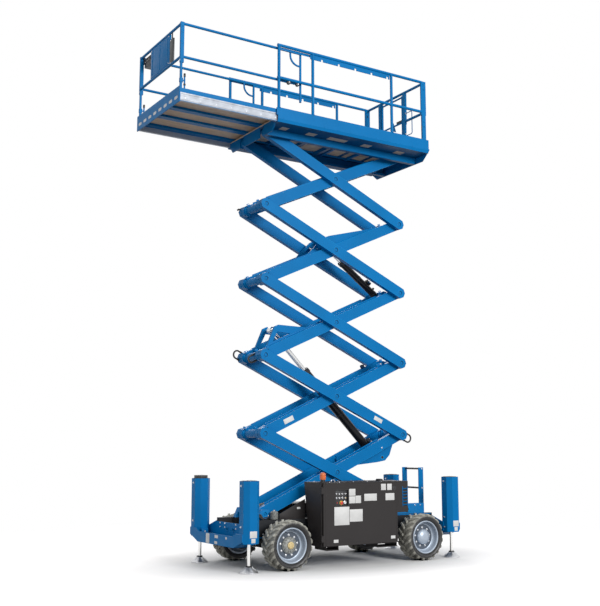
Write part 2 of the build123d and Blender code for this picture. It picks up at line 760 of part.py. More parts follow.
def outrigger_leg(x, side):
    """Chrome rod with its pad on the ground."""
    y = side * LEG_Y
    stem = upright(x, y, PAD_H - 20, LEG_TOP, LEG_R)
    # radius, height
    profile = [(0, 0), (PAD_R, 0), (PAD_R, 14), (PAD_R * 0.72, 34), (38, PAD_H - 18), (34, PAD_H), (0, PAD_H)]
    face = Face(Wire.make_polygon([Vector(x + r, y, z) for r, z in profile], close=True))
    pad = revolve(face, axis=Axis((x, y, 0), (0, 0, 1)), revolution_arc=360)
    # out from the rod, height
    rib = [(30, 8), (PAD_R - 4, 8), (PAD_R - 4, 22), (PAD_R * 0.70, 52), (44, PAD_H - 10), (30, PAD_H - 10)]
    blade = prism([(r, -PAD_RIB_T / 2, z) for r, z in rib], (0, PAD_RIB_T, 0))
    ribs = [Pos(x, y, 0) * Rot(0, 0, n * 360 / PAD_RIBS) * blade for n in range(PAD_RIBS)]
    return [fused([pad, stem] + ribs)]


def tray_top(side):
    return TRAY_TOP if side > 0 else ENGINE_TRAY_TOP


def hinge_zs(side):
    """Middles of the two hinges of one door."""
    return [TRAY_BOTTOM + HINGE_END, tray_top(side) - HINGE_END]


def tray_section(inset, bottom, top, open_by):
    """(y, z) outline of the tray, its inner edge leaning out towards the bottom."""
    lean = (TRAY_IN_LOW - TRAY_IN) / (TRAY_TOP - TRAY_BOTTOM)
    low, high = bottom + inset, top - inset
    inner_low = TRAY_IN + lean * (TRAY_TOP - low) + inset
    inner_high = TRAY_IN + lean * (TRAY_TOP - high) + inset
    return [(TRAY_OUT + open_by, low), (inner_low, low), (inner_high, high), (TRAY_OUT + open_by, high)]


def tail():
    """Louvred tail of the left tray, over the rear wheel."""
    t = TRAY_WALL
    shell = plate_yz(tray_section(0, TAIL_BOTTOM, TRAY_TOP, 0), TAIL_REAR, TRAY_REAR + 1)
    shell = shell - plate_yz(tray_section(t, TAIL_BOTTOM, TRAY_TOP, -t), TAIL_REAR + t, TRAY_REAR + 2)
    louvre_pitch = (TRAY_TOP - TAIL_BOTTOM - 170) / LOUVRES
    for n in range(LOUVRES):
        z = TAIL_BOTTOM + 90 + n * louvre_pitch
        shell = shell - box(TAIL_REAR + 14, TAIL_REAR + 92, TRAY_OUT - t - 5, TRAY_OUT + 5, z, z + 16)
    return shell


def tray(side):
    """Open-sided hollow tray, hung on the frame, with its door's hinge pins."""
    t = TRAY_WALL
    top = tray_top(side)
    shell = plate_yz(tray_section(0, TRAY_BOTTOM, top, 0), TRAY_REAR, TRAY_FRONT)
    shell = shell - plate_yz(tray_section(t, TRAY_BOTTOM, top, 1), TRAY_REAR + t, TRAY_FRONT - t)
    pieces = [shell, tail()] if side > 0 else [shell]
    # x0, x1 of the hangers on the frame's rail
    for x0, x1 in ((-560.0, -460.0), (420.0, 520.0)):
        pieces.append(box(x0, x1, RAIL_OUT, TRAY_IN_LOW - 5, 430, 600))
    for z in hinge_zs(side):
        pieces.append(upright(HINGE_X, HINGE_Y, z - HINGE_HALF - 4, z + HINGE_HALF + 4, HINGE_PIN_R))
        for z0 in (z - HINGE_HALF - 6, z + HINGE_HALF):
            pieces.append(box(TRAY_FRONT - 4, HINGE_X + 7, TRAY_OUT - 30, HINGE_Y + 7, z0, z0 + 6))
    whole = fused(pieces)
    return [whole if side > 0 else other_side(whole)]


def lifting_pockets(side):
    """Fork pockets under the tray, open at both ends."""
    pockets = []
    for x0, x1 in POCKETS:
        y0, y1 = TRAY_IN_LOW + 20, TRAY_OUT
        outer = box(x0, x1, side * y0, side * y1, TRAY_BOTTOM - POCKET_H, TRAY_BOTTOM)
        low, high = TRAY_BOTTOM - POCKET_H + POCKET_WALL, TRAY_BOTTOM - POCKET_WALL
        bore = box(x0 + POCKET_WALL, x1 - POCKET_WALL, side * (y0 - 1), side * (y1 + 1), low, high)
        pockets.append(outer - bore)
    return pockets


def door(side):
    """Swing-out door on the tray's open side, with its hinge barrels."""
    y0 = TRAY_OUT + DOOR_GAP
    panel = box(DOOR_REAR, TRAY_FRONT - 14, y0, y0 + DOOR_T, TRAY_BOTTOM + 6, tray_top(side) - 6)
    if side > 0:
        panel = panel - box(240, 457, y0 + DOOR_T - CONTROL_DEPTH, y0 + DOOR_T + 1, 820, 1040)
    pieces = [panel]
    low, high = -HINGE_HALF + 0.5, HINGE_HALF - 0.5
    for z in hinge_zs(side):
        pieces.append(upright(HINGE_X, HINGE_Y, z + low, z + high, HINGE_R))
        pieces.append(box(HINGE_X - 46, HINGE_X, y0 + DOOR_T - 4, HINGE_Y + HINGE_R, z + low, z + high))
    whole = fused(pieces)
    for z in hinge_zs(side):
        whole = whole - upright(HINGE_X, HINGE_Y, z + low - 1, z + high + 1, HINGE_PIN_R + FIT)
    return [whole if side > 0 else other_side(whole)]


def engine_block():
    """Engine on the right tray's floor, as one plain block."""
    low, high = TRAY_BOTTOM + TRAY_WALL, ENGINE_TRAY_TOP - TRAY_WALL - 18
    return [box(-330, 330, -TRAY_OUT + 40, -TRAY_IN_LOW - TRAY_WALL - 8, low, high)]


LADDER_Y0 = -280.0
LADDER_Y1 = 120.0
LADDER_LOW = 620.0
LADDER_HIGH = 1310.0
LADDER_DEPTH = 95.0
RUNG_ZS = [706.0, 996.0, 1290.0]


def ladder():
    """Entry ladder on the rear bumper's web: two flat sides and round rungs."""
    x0, x1 = FRAME_REAR - LADDER_DEPTH, FRAME_REAR
    pieces = [box(FRAME_REAR - WEB_T, x1, LADDER_Y0 - 20, LADDER_Y1 + 20, WEB_TOP - 10, WEB_TOP + 110)]
    for y in (LADDER_Y0, LADDER_Y1):
        pieces.append(box(x0, x1, y - 4, y + 4, LADDER_LOW, LADDER_HIGH))
    for z in RUNG_ZS:
        pieces.append(rod((x0 + 30, LADDER_Y0, z), (x0 + 30, LADDER_Y1, z), 13))
    return [fused(pieces)]


def beacon():
    """Amber lamp on the left tray."""
    x, y = 583.0, 750.0
    # radius, height above the tray
    foot = [(0, 0), (44, 0), (44, 10), (30, 16), (30, 35)]
    lens = [(42, 40), (40, 112), (33, 128), (18, 135), (0, 136)]
    profile = foot + lens
    face = Face(Wire.make_polygon([Vector(x + r, y, TRAY_TOP + z) for r, z in profile], close=True))
    return [revolve(face, axis=Axis((x, y, 0), (0, 0, 1)), revolution_arc=360)]


def chassis():
    """Everything on the wheels that doesn't lift."""
    save("chassis_frame", chassis_frame())
    save("front_axle", front_axle())
    save("rear_axle", rear_axle())
    save("tie_rod", tie_rod())
    for x, end in ((LEG_FRONT_X, "front"), (LEG_REAR_X, "rear")):
        save(f"{end}_bumper", bumper(x))
        save(f"{end}_columns", columns(x))
    save("engine_block", engine_block())
    save("ladder", ladder())
    save("beacon", beacon())
    for side, name in ((1, "left"), (-1, "right")):
        save(f"knuckle_{name}", knuckle(side))
        save(f"tray_{name}", tray(side))
        save(f"tray_door_{name}", door(side))
        save(f"lifting_pockets_{name}", lifting_pockets(side))
        for x, end in ((LEG_FRONT_X, "front"), (LEG_REAR_X, "rear")):
            save(f"outrigger_{end}_{name}", outrigger_leg(x, side))


# ------------------------------------------------------------------ platform
# x0, x1 of the main deck's cross members between the tracks, and their depth
DECK_MEMBERS = [
    (-930.0, -870.0, 3.0),
    (-480.0, -420.0, 3.0),
    (-30.0, 30.0, 55.0),
    (420.0, 480.0, 45.0),
    (860.0, 920.0, 8.0),
    (1230.0, 1322.0, 8.0),
]
# x0, x1 of the outboard cross members, and of the openings between them in the plate below
OUTBOARD_MEMBERS = [(-1405.0, -1350.0), (-740.0, -680.0), (-190.0, -130.0), (395.0, 455.0), (840.0, 900.0)]
OPENINGS = [(-1108.0, -935.0), (-475.0, -302.0), (-23.0, 318.0), (530.0, 699.0), (1020.0, 1153.0)]
OPENING_IN = 30.0  # from the track to an opening
OPENING_W = 130.0


def platform_frame():
    """Roller tracks, cross members, outboard floor plates, end fascias and toe boards of the main deck."""
    roller_floor = TOP_Z - ROLLER_R - 6
    roller_roof = TOP_Z + ROLLER_R + 8
    x0, x1 = DECK_REAR + 10, DECK_FRONT - 5
    skirt_edge = DECK_HALF - SKIRT_IN
    skirt_top = SKIRT_Z + SKIRT_T
    plate = box(DECK_REAR, DECK_FRONT, RAIL_OUT - 2, skirt_edge + 6, SKIRT_Z, skirt_top)
    for start, end in OPENINGS:
        y0 = RAIL_OUT + OPENING_IN
        plate = plate - box(start, end, y0, y0 + OPENING_W, SKIRT_Z - 1, skirt_top + 1)
    # y, z of the strip that leans in from the toe board's foot
    skirt = [
        (DECK_HALF, TOE_BOTTOM + 1),
        (DECK_HALF - TOE_T, TOE_BOTTOM + 1),
        (skirt_edge, skirt_top),
        (skirt_edge, SKIRT_Z),
        (skirt_edge + 10, SKIRT_Z),
    ]
    side = [
        box(x0, x1, RAIL_OUT - 8, RAIL_OUT + 6, TRACK_BOTTOM, FLOOR_Z),
        box(x0, DECK_FRONT - 110, RAIL_IN, RAIL_OUT, TRACK_BOTTOM, roller_floor),
        box(x0, x1, RAIL_IN, RAIL_OUT, roller_roof, FLOOR_Z),
        box(DECK_REAR, DECK_FRONT, DECK_HALF - TOE_T, DECK_HALF, TOE_BOTTOM, TOE_TOP),
        box(DECK_REAR, DECK_FRONT, DECK_HALF - 44, DECK_HALF, TOE_TOP - 8, TOE_TOP),
        plate,
        plate_yz(skirt, DECK_REAR, DECK_FRONT),
        box(FRONT_X - 70, x1, RAIL_IN, RAIL_OUT, TRACK_BOTTOM, FLOOR_Z),
    ]
    for start, end in OUTBOARD_MEMBERS:
        side.append(box(start, end, RAIL_OUT - 2, FLOOR_HALF, SKIRT_Z, FLOOR_Z))
    for start, end, depth in DECK_MEMBERS:
        side.append(box(start, end, -1, RAIL_IN + 5, FLOOR_Z - depth, FLOOR_Z))
    pad_x = DECK_MEMBERS[-1][0]
    side.append(box(pad_x, x1, EXT_BEAM_IN + 2, EXT_BEAM_OUT + 2, skirt_top - 1, EXT_BEAM_LOW - SLIDE_GAP))
    # y, z of the fascias at the deck's two ends
    front = [
        (RAIL_IN, TRACK_BOTTOM),
        (FASCIA_FLAT, TRACK_BOTTOM),
        (EXT_BEAM_IN - 8, SKIRT_Z),
        (EXT_BEAM_IN - 8, FLOOR_Z),
        (RAIL_IN, FLOOR_Z),
    ]
    rear = [
        (-1, TRACK_BOTTOM),
        (FASCIA_FLAT, TRACK_BOTTOM),
        (DECK_HALF, TOE_BOTTOM),
        (DECK_HALF, FLOOR_Z + 5),
        (-1, FLOOR_Z + 5),
    ]
    side.append(plate_yz(front, DECK_FRONT - FASCIA_T, DECK_FRONT))
    side.append(box(DECK_FRONT - FASCIA_T, DECK_FRONT, -1, INNER_OUT - 24, TRACK_BOTTOM - 10, FLOOR_Z))
    side.append(plate_yz(rear, DECK_REAR - FASCIA_T, DECK_REAR))
    half = fused(side) - across(FRONT_X, TOP_Z, RAIL_IN - 1, RAIL_OUT - 5, PIN_R + FIT)
    end = box(DECK_REAR, DECK_REAR + TOE_T, -DECK_HALF, DECK_HALF, FLOOR_Z - 3, TOE_TOP)
    sill = box(DECK_REAR, SILL_FRONT, -FLOOR_HALF, FLOOR_HALF, FLOOR_Z, FLOOR_Z + FLOOR_T)
    whole = fused([half, other_side(half), end, sill])
    return [whole]


def platform_floor():
    """Main deck's floor sheet."""
    return [box(SILL_FRONT, DECK_FRONT, -FLOOR_HALF, FLOOR_HALF, FLOOR_Z, FLOOR_Z + FLOOR_T)]


# x of the main rails' round posts, each side
MAIN_POSTS = [1308.0, 730.0, -720.0]
REAR_POST_X = -1352.0
STRIP_REAR = -685.0
STRIP_FRONT = 775.0
STRIP_NOTCHES = 5
GATE_Y0 = -400.0
GATE_Y1 = 245.0
GATE_X = REAR_POST_X - 24.0
GATE_HINGE_Y = GATE_Y0 + 58.0
GATE_LOW = FLOOR_Z + FLOOR_T + 60.0
GATE_HIGH = TOP_RAIL_Z - 60.0
GATE_R = 16.0
GATE_PIN_R = 6.0
GRIP_R = 7.0
GRIP_BEND = 30.0
# z of the pin's two ends and of the lug's two faces, at each hinge of the gate
GATE_HINGES = [
    (GATE_LOW - 24.0, GATE_LOW + 6.0, GATE_LOW - 34.0, GATE_LOW - 20.0),
    (GATE_HIGH - 6.0, GATE_HIGH + 24.0, GATE_HIGH + 20.0, GATE_HIGH + 34.0),
]


def side_rails(side):
    """One side's rails of the main deck, standing on the toe board's flange."""
    y = side * RAIL_Y
    pieces = [upright(x, y, TOE_TOP, TOP_RAIL_Z, POST_R) for x in MAIN_POSTS]
    fold_z = MID_RAIL_Z - 50
    pieces.append(box(REAR_POST_X - 48, REAR_POST_X + 48, y - 11, y + 11, fold_z, TOP_RAIL_Z + 16))
    pieces.append(box(REAR_POST_X - 36, REAR_POST_X + 36, y - 16, y + 16, TOE_TOP, fold_z + 12))
    for z in (TOP_RAIL_Z, MID_RAIL_Z):
        pieces.append(rod((REAR_POST_X + 40, y, z), (MAIN_POSTS[0] + 22, y, z), RAIL_R))
    strip_low = TOP_RAIL_Z - 92
    strip = box(STRIP_REAR, STRIP_FRONT, y - 4, y + 4, strip_low, TOP_RAIL_Z - RAIL_R + 4)
    notch_pitch = (STRIP_FRONT - STRIP_REAR - 250) / (STRIP_NOTCHES - 1)
    for n in range(STRIP_NOTCHES):
        notch_x = STRIP_REAR + 42 + n * notch_pitch
        strip = strip - box(notch_x - 17, notch_x + 17, y - 6, y + 6, strip_low - 1, strip_low + 34)
    pieces.append(strip)
    return [fused(pieces)]


def rear_rails():
    """Rear rail with the gate's posts and hinge pins."""
    x = GATE_X
    end = RAIL_Y - 11
    pieces = [rod((x, -end, TOP_RAIL_Z), (x, end, TOP_RAIL_Z), RAIL_R - 1)]
    grip_y = GATE_Y1 + 185
    grip_low, grip_high = FLOOR_Z + 350, MID_RAIL_Z + 130
    for y in (GATE_Y0, GATE_Y1):
        pieces.append(box(x - 20, x + 20, y - 30, y + 30, MID_RAIL_Z - 50, TOP_RAIL_Z))
        pieces.append(box(x - 16, x + 16, y - 24, y + 24, FLOOR_Z + FLOOR_T, MID_RAIL_Z - 40))
    grip_ends = [(GATE_Y1, grip_high), (grip_y, grip_high), (grip_y, grip_low), (GATE_Y1 + 10, grip_low)]
    grip = [(x, y, z) for y, z in grip_ends]
    pieces.append(bent_tube(grip, GRIP_R, GRIP_BEND))
    for pin_low, pin_high, lug_low, lug_high in GATE_HINGES:
        pieces.append(upright(x, GATE_HINGE_Y, pin_low, pin_high, GATE_PIN_R))
        pieces.append(box(x - 10, x + 10, GATE_Y0 + 15, GATE_HINGE_Y + 10, lug_low, lug_high))
    pieces.append(rod((x, GATE_Y1, MID_RAIL_Z), (x, end, MID_RAIL_Z), RAIL_R - 1))
    pieces.append(rod((x, GATE_Y0, MID_RAIL_Z), (x, -end, MID_RAIL_Z), RAIL_R - 1))
    return [fused(pieces)]


def entry_gate():
    """Swing gate between the rear posts."""
    x, y0 = GATE_X, GATE_HINGE_Y
    y1 = GATE_Y1 - 56
    low, high = GATE_LOW, GATE_HIGH
    pieces = [
        upright(x, y0, low - 18, high + 18, GATE_R),
        upright(x, y1, low - 15, high + 15, GATE_R),
    ]
    for z in (low, MID_RAIL_Z, high):
        pieces.append(rod((x, y0, z), (x, y1, z), GATE_R - 2))
    pieces.append(box(x - 6, x + 6, y0, y1, low, low + 150))
    whole = fused(pieces)
    for pin_low, pin_high, lug_low, lug_high in GATE_HINGES:
        whole = whole - upright(x, y0, pin_low - 2, pin_high + 2, GATE_PIN_R + FIT)
    return [whole]


def extension():
    """Sliding front deck with its rails and controls."""
    joist_low = EXT_FLOOR_Z - 34
    front = box(EXT_FRONT - 12, EXT_FRONT, -EXT_HALF, EXT_HALF, TOP_Z + 4, TOE_TOP + 16)
    hole_pitch = 2 * (EXT_HALF - 115) / (PANEL_HOLES - 1)
    hole_z = TOP_Z + 86
    for n in range(PANEL_HOLES):
        y = -EXT_HALF + 115 + n * hole_pitch
        for end in (y - PANEL_HOLE_RUN / 2, y + PANEL_HOLE_RUN / 2):
            front = front - rod((EXT_FRONT - 20, end, hole_z), (EXT_FRONT + 5, end, hole_z), PANEL_HOLE_R)
    pieces = [front]
    for y in (-EXT_JOIST_Y, EXT_JOIST_Y):
        pieces.append(
            box(EXT_REAR, EXT_FRONT - 10, y - EXT_JOIST_W / 2, y + EXT_JOIST_W / 2, joist_low, EXT_FLOOR_Z)
        )
    for side in (1, -1):
        wall_y, edge_y = side * (EXT_HALF - 11), side * EXT_HALF
        beam_y, lip_y = side * EXT_BEAM_IN, side * (EXT_HALF - 71)
        pieces.append(box(EXT_REAR, EXT_FRONT - 10, beam_y - side * 110, beam_y, joist_low, EXT_FLOOR_Z))
        pieces.append(box(EXT_REAR, EXT_FRONT - 10, wall_y, edge_y, EXT_FLOOR_Z + 22, TOE_TOP - 14))
        pieces.append(box(EXT_REAR, EXT_FRONT - 10, lip_y, edge_y, EXT_FLOOR_Z + FLOOR_T, EXT_FLOOR_Z + 24))
    pieces.append(box(EXT_REAR, EXT_REAR + 40, -EXT_BEAM_IN, EXT_BEAM_IN, joist_low, EXT_FLOOR_Z))
    save("extension_frame", [fused(pieces)])
    beam_top = EXT_FLOOR_Z + FLOOR_T
    beams = []
    groove_z = EXT_BEAM_LOW + 86
    for side in (1, -1):
        beam = box(EXT_REAR, EXT_FRONT - 12, side * EXT_BEAM_IN, side * EXT_BEAM_OUT, EXT_BEAM_LOW, beam_top)
        groove_y = side * (EXT_BEAM_OUT - BEAM_GROOVE)
        for z, depth in ((groove_z, 14), (EXT_BEAM_LOW + 10, 8)):
            beam = beam - box(EXT_REAR - 1, EXT_FRONT, groove_y, side * (EXT_BEAM_OUT + 1), z, z + depth)
        beams.append(beam)
    save("extension_beams", beams)
    save("extension_floor", [box(EXT_REAR, EXT_FRONT - 12, -EXT_BEAM_IN, EXT_BEAM_IN, EXT_FLOOR_Z, beam_top)])
    x = EXT_FRONT - 30
    low_z, high_z = MID_RAIL_Z - 14, EXT_RAIL_TOP
    tube_r = RAIL_R - 3
    sleeve_z = MID_RAIL_Z - 100
    foot_z = TOE_TOP + 16
    stub_x = x - 56
    for side, name in ((1, "left"), (-1, "right")):
        y = side * EXT_RAIL_Y
        rails = [box(x - 32, x + 20, side * EXT_POST_IN, side * (EXT_RAIL_Y + 20), sleeve_z, high_z + 18)]
        post_y = (y - side * 12, side * (EXT_RAIL_Y + 16))
        rails.append(box(x - 14, x + 14, *post_y, EXT_FLOOR_Z + 24, sleeve_z + 10))
        rails.append(box(x - 26, x + 18, y - side * 15, side * (EXT_RAIL_Y + 20), foot_z + 60, foot_z + 120))
        rails.append(upright(stub_x, y, EXT_FLOOR_Z + 24, foot_z + 190, STUB_R))
        rails.append(box(stub_x, x - 10, y - 6, y + 6, foot_z + 84, foot_z + 100))
        rails.append(upright(EXT_POST_X, y, EXT_FLOOR_Z + 260, high_z, tube_r - 2))
        for z in (high_z, low_z):
            rails.append(rod((EXT_POST_X, y, z), (x - 20, y, z), tube_r))
        brace_x, brace_z = EXT_POST_X + BRACE_RUN, high_z - BRACE_DROP
        brace = [(EXT_POST_X, y, brace_z), (brace_x, y, brace_z), (brace_x, y, high_z)]
        rails.append(bent_tube(brace, BRACE_R, BRACE_BEND))
        save(f"extension_rails_{name}", [fused(rails)])
    rails = [rod((x, -EXT_POST_IN, z), (x, EXT_POST_IN, z), tube_r) for z in (high_z, low_z)]
    save("extension_rails_front", [fused(rails)])
    save("document_box", [box(x - 16, x + 12, BOX_Y0, BOX_Y1, low_z + tube_r, high_z - tube_r)])
    guard_y0, guard_y1 = -EXT_RAIL_Y + 34, -EXT_RAIL_Y + 300
    box_top = high_z - 20
    guard_x = x - tube_r - GUARD_R - FIT
    guard = [
        (guard_x, guard_y0, box_top - 60),
        (guard_x, guard_y0, high_z + 32),
        (guard_x, guard_y1, high_z + 32),
        (guard_x, guard_y1, box_top - 60),
    ]
    console = [
        box(guard_x - 136, guard_x + 6, guard_y0 + 16, guard_y1 - 30, box_top - 150, box_top),
        box(guard_x - 12, guard_x + 6, guard_y0 - 8, guard_y1 + 8, box_top - 90, box_top - 50),
        bent_tube(guard, GUARD_R, GUARD_BEND),
    ]
    save("control_box", [fused(console)])


def platform():
    """Main deck, its rails and the sliding deck."""
    save("platform_frame", platform_frame())
    save("platform_floor", platform_floor())
    for side, name in ((1, "left"), (-1, "right")):
        save(f"rails_{name}", side_rails(side))
    save("rails_rear", rear_rails())
    save("entry_gate", entry_gate())
    extension()


wheels()
chassis()
scissor()
platform()
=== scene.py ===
"""Rough-terrain scissor lift: finishes, fittings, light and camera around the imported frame. Metres."""
import json
import math
import random

import bmesh
import bpy
from mathutils import Matrix, Vector


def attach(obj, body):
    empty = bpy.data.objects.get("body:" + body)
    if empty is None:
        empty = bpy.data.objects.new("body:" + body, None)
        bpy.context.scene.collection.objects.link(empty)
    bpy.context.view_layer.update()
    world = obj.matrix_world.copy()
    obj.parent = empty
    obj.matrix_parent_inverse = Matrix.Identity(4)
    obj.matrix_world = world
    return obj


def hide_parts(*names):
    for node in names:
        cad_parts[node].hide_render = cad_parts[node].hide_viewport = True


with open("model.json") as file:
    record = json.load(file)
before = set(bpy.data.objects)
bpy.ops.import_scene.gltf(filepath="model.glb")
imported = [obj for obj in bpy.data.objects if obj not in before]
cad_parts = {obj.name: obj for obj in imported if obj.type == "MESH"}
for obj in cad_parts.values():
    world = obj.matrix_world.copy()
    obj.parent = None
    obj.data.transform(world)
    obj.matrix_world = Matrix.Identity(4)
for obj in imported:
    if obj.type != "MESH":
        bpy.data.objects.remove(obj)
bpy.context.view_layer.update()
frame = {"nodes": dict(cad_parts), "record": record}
random.seed(7)

X, Y, Z = Vector((1, 0, 0)), Vector((0, 1, 0)), Vector((0, 0, 1))
JOINT = {j["name"]: j for j in frame["record"]["behaviour"]["joints"]}
PIN = {name: Vector(j["pos_m"]) for name, j in JOINT.items() if j.get("pos_m")}


# ------------------------------------------------------------------ finishes
def rgba(colour, dim=1.0):
    return (*(c * dim for c in colour), 1)


class Nodes:
    """Short ways to add nodes to a tree."""

    def __init__(self, tree):
        self.tree = tree

    def node(self, kind, **values):
        made = self.tree.nodes.new(kind)
        for key, value in values.items():
            if hasattr(made, key) and key not in made.inputs:
                setattr(made, key, value)
            else:
                self.feed(made.inputs[key], value)
        return made

    def feed(self, socket, value):
        if isinstance(value, bpy.types.NodeSocket):
            self.tree.links.new(value, socket)
        else:
            socket.default_value = value

    def ramp(self, value, low, high, out_low=0.0, out_high=1.0):
        made = self.node("ShaderNodeMapRange", Value=value)
        for socket, number in zip(made.inputs[1:5], (low, high, out_low, out_high)):
            socket.default_value = number
        return made.outputs[0]

    def math(self, kind, a, b=0.0):
        made = self.node("ShaderNodeMath", operation=kind)
        self.feed(made.inputs[0], a)
        self.feed(made.inputs[1], b)
        return made.outputs[0]

    def mix(self, factor, a, b):
        made = self.node("ShaderNodeMix", data_type="RGBA")
        for index, value in ((0, factor), (6, a), (7, b)):
            self.feed(made.inputs[index], value)
        return made.outputs[2]

    def vector(self, operation, a, b=(0, 0, 0)):
        made = self.node("ShaderNodeVectorMath", operation=operation)
        self.feed(made.inputs[0], a)
        self.feed(made.inputs[1], b)
        return made.outputs["Value"]

    def surround(self):
        """1 for the rays that see the white surround: from the camera, from mirrors and through glass."""
        rays = self.node("ShaderNodeLightPath").outputs
        bent = self.math("MAXIMUM", rays["Is Glossy Ray"], rays["Is Transmission Ray"])
        return self.math("MAXIMUM", rays["Is Camera Ray"], bent)


class Finish(Nodes):
    """A node material with one Principled shader, new or copied from another."""

    def __init__(self, name, start=None, **values):
        self.material = start.copy() if start else bpy.data.materials.new(name)
        self.material.name = name
        self.material.use_nodes = True
        super().__init__(self.material.node_tree)
        self.shader = self.tree.nodes["Principled BSDF"]
        for socket, value in values.items():
            self.shader.inputs[socket].default_value = value
        self.coords = self.node("ShaderNodeTexCoord").outputs["Object"]

    def noise(self, scale, detail=3.0, stretch=(1, 1, 1), rough=0.55):
        """Noise over the object's own coordinates, drawn out along an axis where stretch is small."""
        place = self.node("ShaderNodeMapping", Vector=self.coords, Scale=stretch).outputs[0]
        made = self.node("ShaderNodeTexNoise", Vector=place, Scale=scale, Detail=detail, Roughness=rough)
        return made.outputs[0]

    def bevelled(self, radius):
        """Normal over edges rounded by a small radius."""
        edge = self.node("ShaderNodeBevel", samples=4)
        edge.inputs["Radius"].default_value = radius
        return edge.outputs[0]

    def relief(self, height, strength, depth, edge_radius):
        bump = self.node("ShaderNodeBump", Height=height, Strength=strength, Distance=depth)
        self.feed(bump.inputs["Normal"], self.bevelled(edge_radius))
        self.feed(self.shader.inputs["Normal"], bump.outputs[0])

    def edge_mask(self, radius):
        """1 on sharp edges, 0 on flats."""
        normal = self.node("ShaderNodeNewGeometry").outputs["Normal"]
        along = self.vector("DOT_PRODUCT", self.bevelled(radius), normal)
        return self.ramp(self.math("SUBTRACT", 1.0, along), 0.02, 0.25)

    def colour(self, value):
        self.feed(self.shader.inputs["Base Color"], value)

    def roughness(self, value):
        self.feed(self.shader.inputs["Roughness"], value)


def paint(name, base, worn_highlight, rough, shine=0.5, metallic=0.0):
    """Sprayed enamel: slow colour drift, orange peel, rounded edges that catch the light, and a lighter
    colour on sharp edges that is partly wear and partly painted highlight.
    """
    f = Finish(name, **{"Metallic": metallic, "Specular IOR Level": shine})
    body = f.mix(f.ramp(f.noise(1.7, 4.0), 0.3, 0.7), rgba(base, 0.86), rgba(base))
    # lighter colour on sharp edges: partly wear, partly painted highlight
    rub_and_highlight = f.math("MULTIPLY", f.edge_mask(0.004), f.ramp(f.noise(23.0, 5.0), 0.45, 0.75, 0.0, 0.7))
    f.colour(f.mix(rub_and_highlight, body, rgba(worn_highlight)))
    f.roughness(f.ramp(f.noise(9.0, 4.0), 0.3, 0.7, rough - 0.05, rough + 0.1))
    f.relief(f.noise(260.0, 2.0), 0.12, 0.002, 0.003)
    return f.material


def bright_metal(name, base, rough, scale, grain, metallic=1.0, tarnish=0.8, stretch=(1, 1, 1)):
    """Bare or plated metal with grain along its length."""
    f = Finish(name, Metallic=metallic)
    marks = f.noise(scale, 4.0, stretch)
    f.colour(f.mix(f.ramp(marks, 0.35, 0.65), rgba(base, tarnish), rgba(base)))
    f.roughness(f.ramp(f.noise(14.0, 4.0), 0.3, 0.7, rough * 0.8, rough * 1.35))
    f.relief(marks, grain, 0.001, 0.002)
    return f.material


def plastic(name, base, rough, grain, scale, coat=0.0, transmission=0.0):
    """Moulded plastic or rubber with a fine leathered surface."""
    f = Finish(name, **{"Coat Weight": coat, "Transmission Weight": transmission})
    f.colour(f.mix(f.ramp(f.noise(6.0), 0.3, 0.7), rgba(base, 0.82), rgba(base)))
    f.roughness(f.ramp(f.noise(30.0), 0.3, 0.7, rough - 0.06, rough + 0.1))
    f.relief(f.noise(scale, 2.0), grain, 0.001, 0.0015)
    return f.material


def tyre_rubber(name):
    """Dark sidewalls and a dusty tread, split by the distance from the wheel's middle."""
    f = Finish(name)
    box = f.node("ShaderNodeSeparateXYZ", Vector=f.node("ShaderNodeTexCoord").outputs["Generated"]).outputs
    x, z = (f.math("SUBTRACT", box[axis], 0.5) for axis in (0, 2))
    out = f.math("SQRT", f.math("ADD", f.math("MULTIPLY", x, x), f.math("MULTIPLY", z, z)))
    tread = f.ramp(out, 0.44, 0.452, 0.0, 0.62)
    crown = f.ramp(out, 0.474, 0.49, 0.0, 0.38)
    patchy = f.ramp(f.noise(16.0, 6.0), 0.25, 0.6, 0.72, 1.0)
    dust = f.math("MULTIPLY", f.math("ADD", tread, crown), patchy)
    rubber = f.mix(f.noise(5.0), (0.01, 0.01, 0.011, 1), (0.022, 0.021, 0.021, 1))
    clay = f.mix(f.ramp(f.noise(34.0, 5.0), 0.35, 0.7), (0.33, 0.325, 0.28, 1), (0.6, 0.59, 0.52, 1))
    f.colour(f.mix(dust, rubber, clay))
    f.roughness(f.ramp(dust, 0.0, 1.0, 0.42, 0.9))
    f.relief(f.noise(190.0, 4.0), 0.35, 0.002, 0.002)
    return f.material


def plywood(name):
    """Phenolic-faced plywood: tan with long grain and faint scuffs."""
    f = Finish(name)
    grain = f.noise(9.0, 6.0, (0.35, 6.0, 6.0), 0.65)
    scuff = f.ramp(f.noise(3.2, 6.0), 0.52, 0.75, 0.0, 0.5)
    wood = f.mix(f.ramp(grain, 0.3, 0.7), (0.48, 0.33, 0.22, 1), (0.82, 0.63, 0.46, 1))
    f.colour(f.mix(scuff, wood, (0.86, 0.76, 0.64, 1)))
    f.roughness(f.ramp(grain, 0.3, 0.7, 0.5, 0.72))
    f.relief(grain, 0.2, 0.002, 0.0015)
    return f.material


